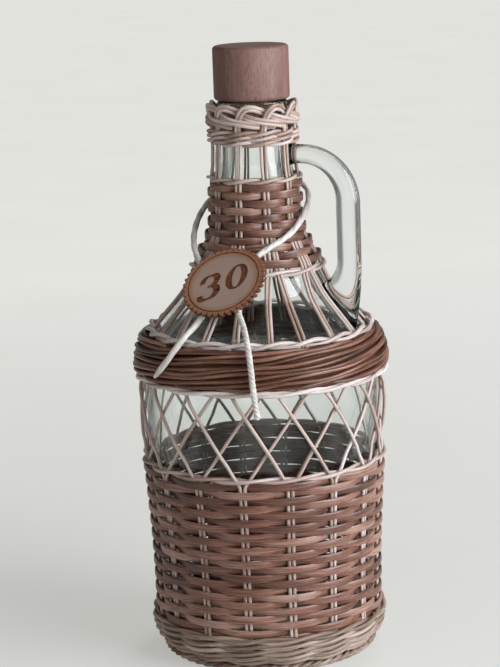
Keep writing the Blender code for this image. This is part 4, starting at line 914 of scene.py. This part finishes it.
# Stopper
# A head turned from beech, with its grain along the bottle's axis, is glued on a tapered cork plug.
# The plug's top is a tenon, which stands in a socket in the head.

beech, tree, shader, place = new_finish("turned_beech", "TexCoord")
grain = noise(tree, place, (520, 520, 60), 3, 0.6)
slow = noise(tree, place, (60, 60, 9), 2)
fleck = drawn_out(tree, noise(tree, place, (1900, 1900, 330), 1), 0.57, 0.66)
value = blend_of(tree, (grain, 0.45), (slow, 0.7))
colour = shades(tree, value, (0.25, 99, 69, 62), (0.5, 129, 96, 88), (0.78, 151, 118, 109))
feed(tree, shader, {
    "Base Color": mixed(tree, maths(tree, "MULTIPLY", fleck, 0.55), colour, tint(86, 56, 48)),
    "Roughness": 0.52,
    "Normal": bump(tree, blend_of(tree, (grain, 0.3), (fleck, -0.9)), 0.3, 0.0002)})

cork, tree, shader, place = new_finish("cork", "TexCoord")
grit = node(tree, "TexVoronoi", {"Vector": place, "Scale": 900.0}).outputs["Distance"]
value = blend_of(tree, (grit, 0.7), (noise(tree, place, (300, 300, 300), 3), 0.9))
feed(tree, shader, {
    "Base Color": shades(tree, value, (0.2, 116, 82, 60), (0.5, 178, 142, 112), (0.8, 202, 170, 140)),
    "Roughness": 0.85, "Normal": bump(tree, grit, 0.5, 0.0004)})

HEAD_LOW, HEAD_HIGH, HEAD_RADIUS, HEAD_EDGE = 0.3359, 0.3679, 0.0226, 0.0022
SOCKET_RADIUS, SOCKET_DEPTH = 0.0088, 0.0065
PLUG = (
    (.0, .3136), (.0124, .3136), (.0136, .3146), (.0145, .3357), (.0086, .3357), (.0086, .3420), (.0, .3420),
)
lower, upper = quarters(8)
head = turned("stopper_head_turning", np.concatenate((
    ((0.0, HEAD_LOW + SOCKET_DEPTH), (SOCKET_RADIUS, HEAD_LOW + SOCKET_DEPTH), (SOCKET_RADIUS, HEAD_LOW)),
    (HEAD_RADIUS - HEAD_EDGE, HEAD_LOW + HEAD_EDGE) + HEAD_EDGE * lower,
    (HEAD_RADIUS - HEAD_EDGE, HEAD_HIGH - HEAD_EDGE) + HEAD_EDGE * upper, ((0.0, HEAD_HIGH),))), 96, beech)
plug = turned("stopper_plug_cork", PLUG, 64, cork)
for piece, name, slot in ((head, "stopper_head", "beech"), (plug, "stopper_plug", "cork")):
    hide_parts(name)
    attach(piece, "stopper")


# Tag
# An oval of thin plywood with a scalloped rim, burnt brown where it is cut: round its edge, in a line round
# the field and in two numerals, which are sunk into its face. It lies on the cone with its knot behind it.

TAG_LENGTH, TAG_WIDTH, TAG_THICKNESS, TEETH = 0.0525, 0.0410, 0.0034, 40
TAG_HEIGHT, TAG_OFF, SCALLOP = 0.2285, 0.0088, 0.0027
NUMERAL_DEPTH, NUMERAL_SLANT, NUMERAL_ASIDE = 0.0009, 0.42, 8.8
PROFILE = np.array((
    (0.828, 1.0, 0), (0.840, 0.90, 0), (0.860, 0.90, 0), (0.872, 1.0, 0), (0.880, 1.0, 0),
    (0.988, 1.0, 1), (1.0, 0.93, 1), (1.0, 0.07, 1), (0.988, 0.0, 1), (0.880, 0.0, 0)))

ply, tree, shader, place = new_finish("burnt_plywood")
grain = noise(tree, place, (110, 1500, 1), 3, 0.6)
cloud = noise(tree, place, (90, 130, 1), 2)
grit = noise(tree, place, (1300, 1500, 1), 2)
scaled = node(tree, "Mapping", {"Vector": place, "Scale": (2 / TAG_LENGTH, 2 / TAG_WIDTH, 0)}).outputs[0]
share = node(tree, "VectorMath", {0: scaled}, operation="LENGTH").outputs["Value"]
zone = shades(
    tree, maths(tree, "MULTIPLY_ADD", cloud, 0.03, share), (0.0, 170, 150, 144), (0.72, 168, 147, 139),
    (0.80, 160, 122, 98), (0.90, 158, 113, 84), (0.955, 146, 96, 66), (0.99, 96, 58, 40))
streaks = drawn_out(tree, blend_of(tree, (grain, 0.9), (cloud, 0.6), (grit, 0.9)), 0.0, 1.0, 0.6, 0.0)
feed(tree, shader, {
    "Base Color": mixed(tree, streaks, zone, tint(148, 112, 88)), "Roughness": 0.62,
    "Normal": bump(tree, grain, 0.3, 0.0002)})

char, tree, shader, place = new_finish("charred_recess", "TexCoord")
soot = noise(tree, place, (900, 900, 900), 3)
feed(tree, shader, {
    "Base Color": shades(tree, soot, (0.3, 88, 50, 32), (0.7, 140, 88, 60)), "Roughness": 0.75,
    "Normal": bump(tree, soot, 0.4, 0.0002)})

radius = float(wall(np.array(TAG_HEIGHT))[0]) + TAG_OFF * cos(TAG_TILT)
middle = round_axis(TAG_BEARING, radius, TAG_HEIGHT + TAG_OFF * sin(TAG_TILT))
long_way = across * cos(TAG_ROLL) + upward * sin(TAG_ROLL)
short_way = upward * cos(TAG_ROLL) - across * sin(TAG_ROLL)


def on_tag(x, y, z):
    """Points of the tag: x along its length, y along its width and z from its back."""
    x, y, z = (part[..., None] for part in np.broadcast_arrays(x, y, z))
    return middle + x * long_way + y * short_way + z * outward


def read(items, name, width, kind=float):
    """A property of all items of a mesh, with a row for each item."""
    found = np.zeros(len(items) * width, kind)
    items.foreach_get(name, found)
    return found.reshape(-1, width)


turn = 2 * pi * np.arange(TEETH * 8) / (TEETH * 8)
scallop = SCALLOP * (1 - np.abs(np.sin(TEETH / 2 * turn)) ** 0.5)
ring_x = np.cos(turn) * TAG_LENGTH / 2
ring_y = np.sin(turn) * TAG_WIDTH / 2
inward = 1 - scallop / np.hypot(ring_x, ring_y)
reach, level, scalloped = PROFILE.T[:, :, None]
size = reach * (1 + scalloped * (inward - 1))
rings = on_tag(size * ring_x, size * ring_y, level * TAG_THICKNESS)
tag = woven("tag_oval", [(rings, np.zeros(len(rings)), np.zeros(len(turn) + 1), False)], ply, 35.0)
flat = read(tag.data.vertices, "co", 3) - middle
corner = read(tag.data.loops, "vertex_index", 1, int)[:, 0]
flat = np.stack((flat @ long_way, flat @ short_way), 1)[corner]
tag.data.uv_layers["strand"].data.foreach_set("uv", flat.ravel())
faced_outward(tag)

tag.data.materials.append(char)
level = (read(tag.data.polygons, "center", 3) - middle) @ outward / TAG_THICKNESS
upright = np.abs(read(tag.data.polygons, "normal", 3) @ outward) < 0.8
burnt = upright | ((level > 0.5) & (level < 0.95))
tag.data.polygons.foreach_set("material_index", burnt.astype(np.int32))


def recess(strokes, closed):
    """Cut a numeral into the tag's face. Each stroke lies between two lines of points in millimetres, which
    lean to the right by a share of their height, and draws in by 0.1 mm on each side on the way down."""
    bars = []
    for number, sides in enumerate(strokes):
        left, right = np.asarray(sides) / 1000
        inward = 0.0001 * (right - left) / np.linalg.norm(right - left, axis=1, keepdims=True)
        corners = np.stack((left, right, right - inward, left + inward), 1)
        x = corners[..., 0] + NUMERAL_SLANT * corners[..., 1]
        above, below = 0.0004 + 0.0001 * number, NUMERAL_DEPTH + 0.00002 * number
        level = np.array((above, above, -below, -below)) + TAG_THICKNESS
        bars.append((on_tag(x, corners[..., 1], level), np.zeros(len(x) + 1), np.zeros(5), closed))
    cutter = woven("numeral", bars, char)
    faced_outward(cutter)
    combined(tag, cutter, "DIFFERENCE", material_mode="TRANSFER", use_self=True)


BOWLS = (
    ((-4.9, 3.2, 3.3), (-4.8, 4.7, 3.2), (-2.8, 6.2, 1.9), (0.1, 6.6, 1.0), (3.2, 5.6, 2.9),
     (4.4, 3.7, 4.1), (3.3, 1.7, 3.0), (0.7, 0.7, 1.2), (-1.3, 0.5, 0.9)),
    ((-1.3, 0.4, 0.9), (1.3, 0.1, 1.1), (4.0, -1.2, 3.3), (5.1, -3.3, 4.5), (3.4, -5.5, 3.2),
     (0.0, -6.6, 1.2), (-3.6, -6.2, 2.1), (-5.6, -4.7, 3.3), (-5.7, -3.3, 3.3)),
)
ZERO_SIZE, ZERO_HOLE, FATTER = (7.3, 6.9), (2.8, 5.7), 1.12
strokes = []
for bowl in BOWLS:
    line = smooth_route(bowl, 0.35)
    ahead = np.gradient(line[:, :2], axis=0)
    beside = np.stack((-ahead[:, 1], ahead[:, 0]), 1) / np.linalg.norm(ahead, axis=1, keepdims=True)
    beside = beside * line[:, 2:] / 2 * FATTER
    strokes.append([line[:, :2] + side * beside + (-NUMERAL_ASIDE, 0.0) for side in (1, -1)])
recess(strokes, False)
turn = 2 * pi * np.arange(72) / 72
ring = np.stack((np.cos(turn), np.sin(turn)), 1)
recess([[(NUMERAL_ASIDE, 0.0) + ring * size for size in (ZERO_SIZE, ZERO_HOLE)]], True)
tag.data.set_sharp_from_angle(angle=radians(35.0))

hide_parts("tag_disc")
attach(tag, "tag")
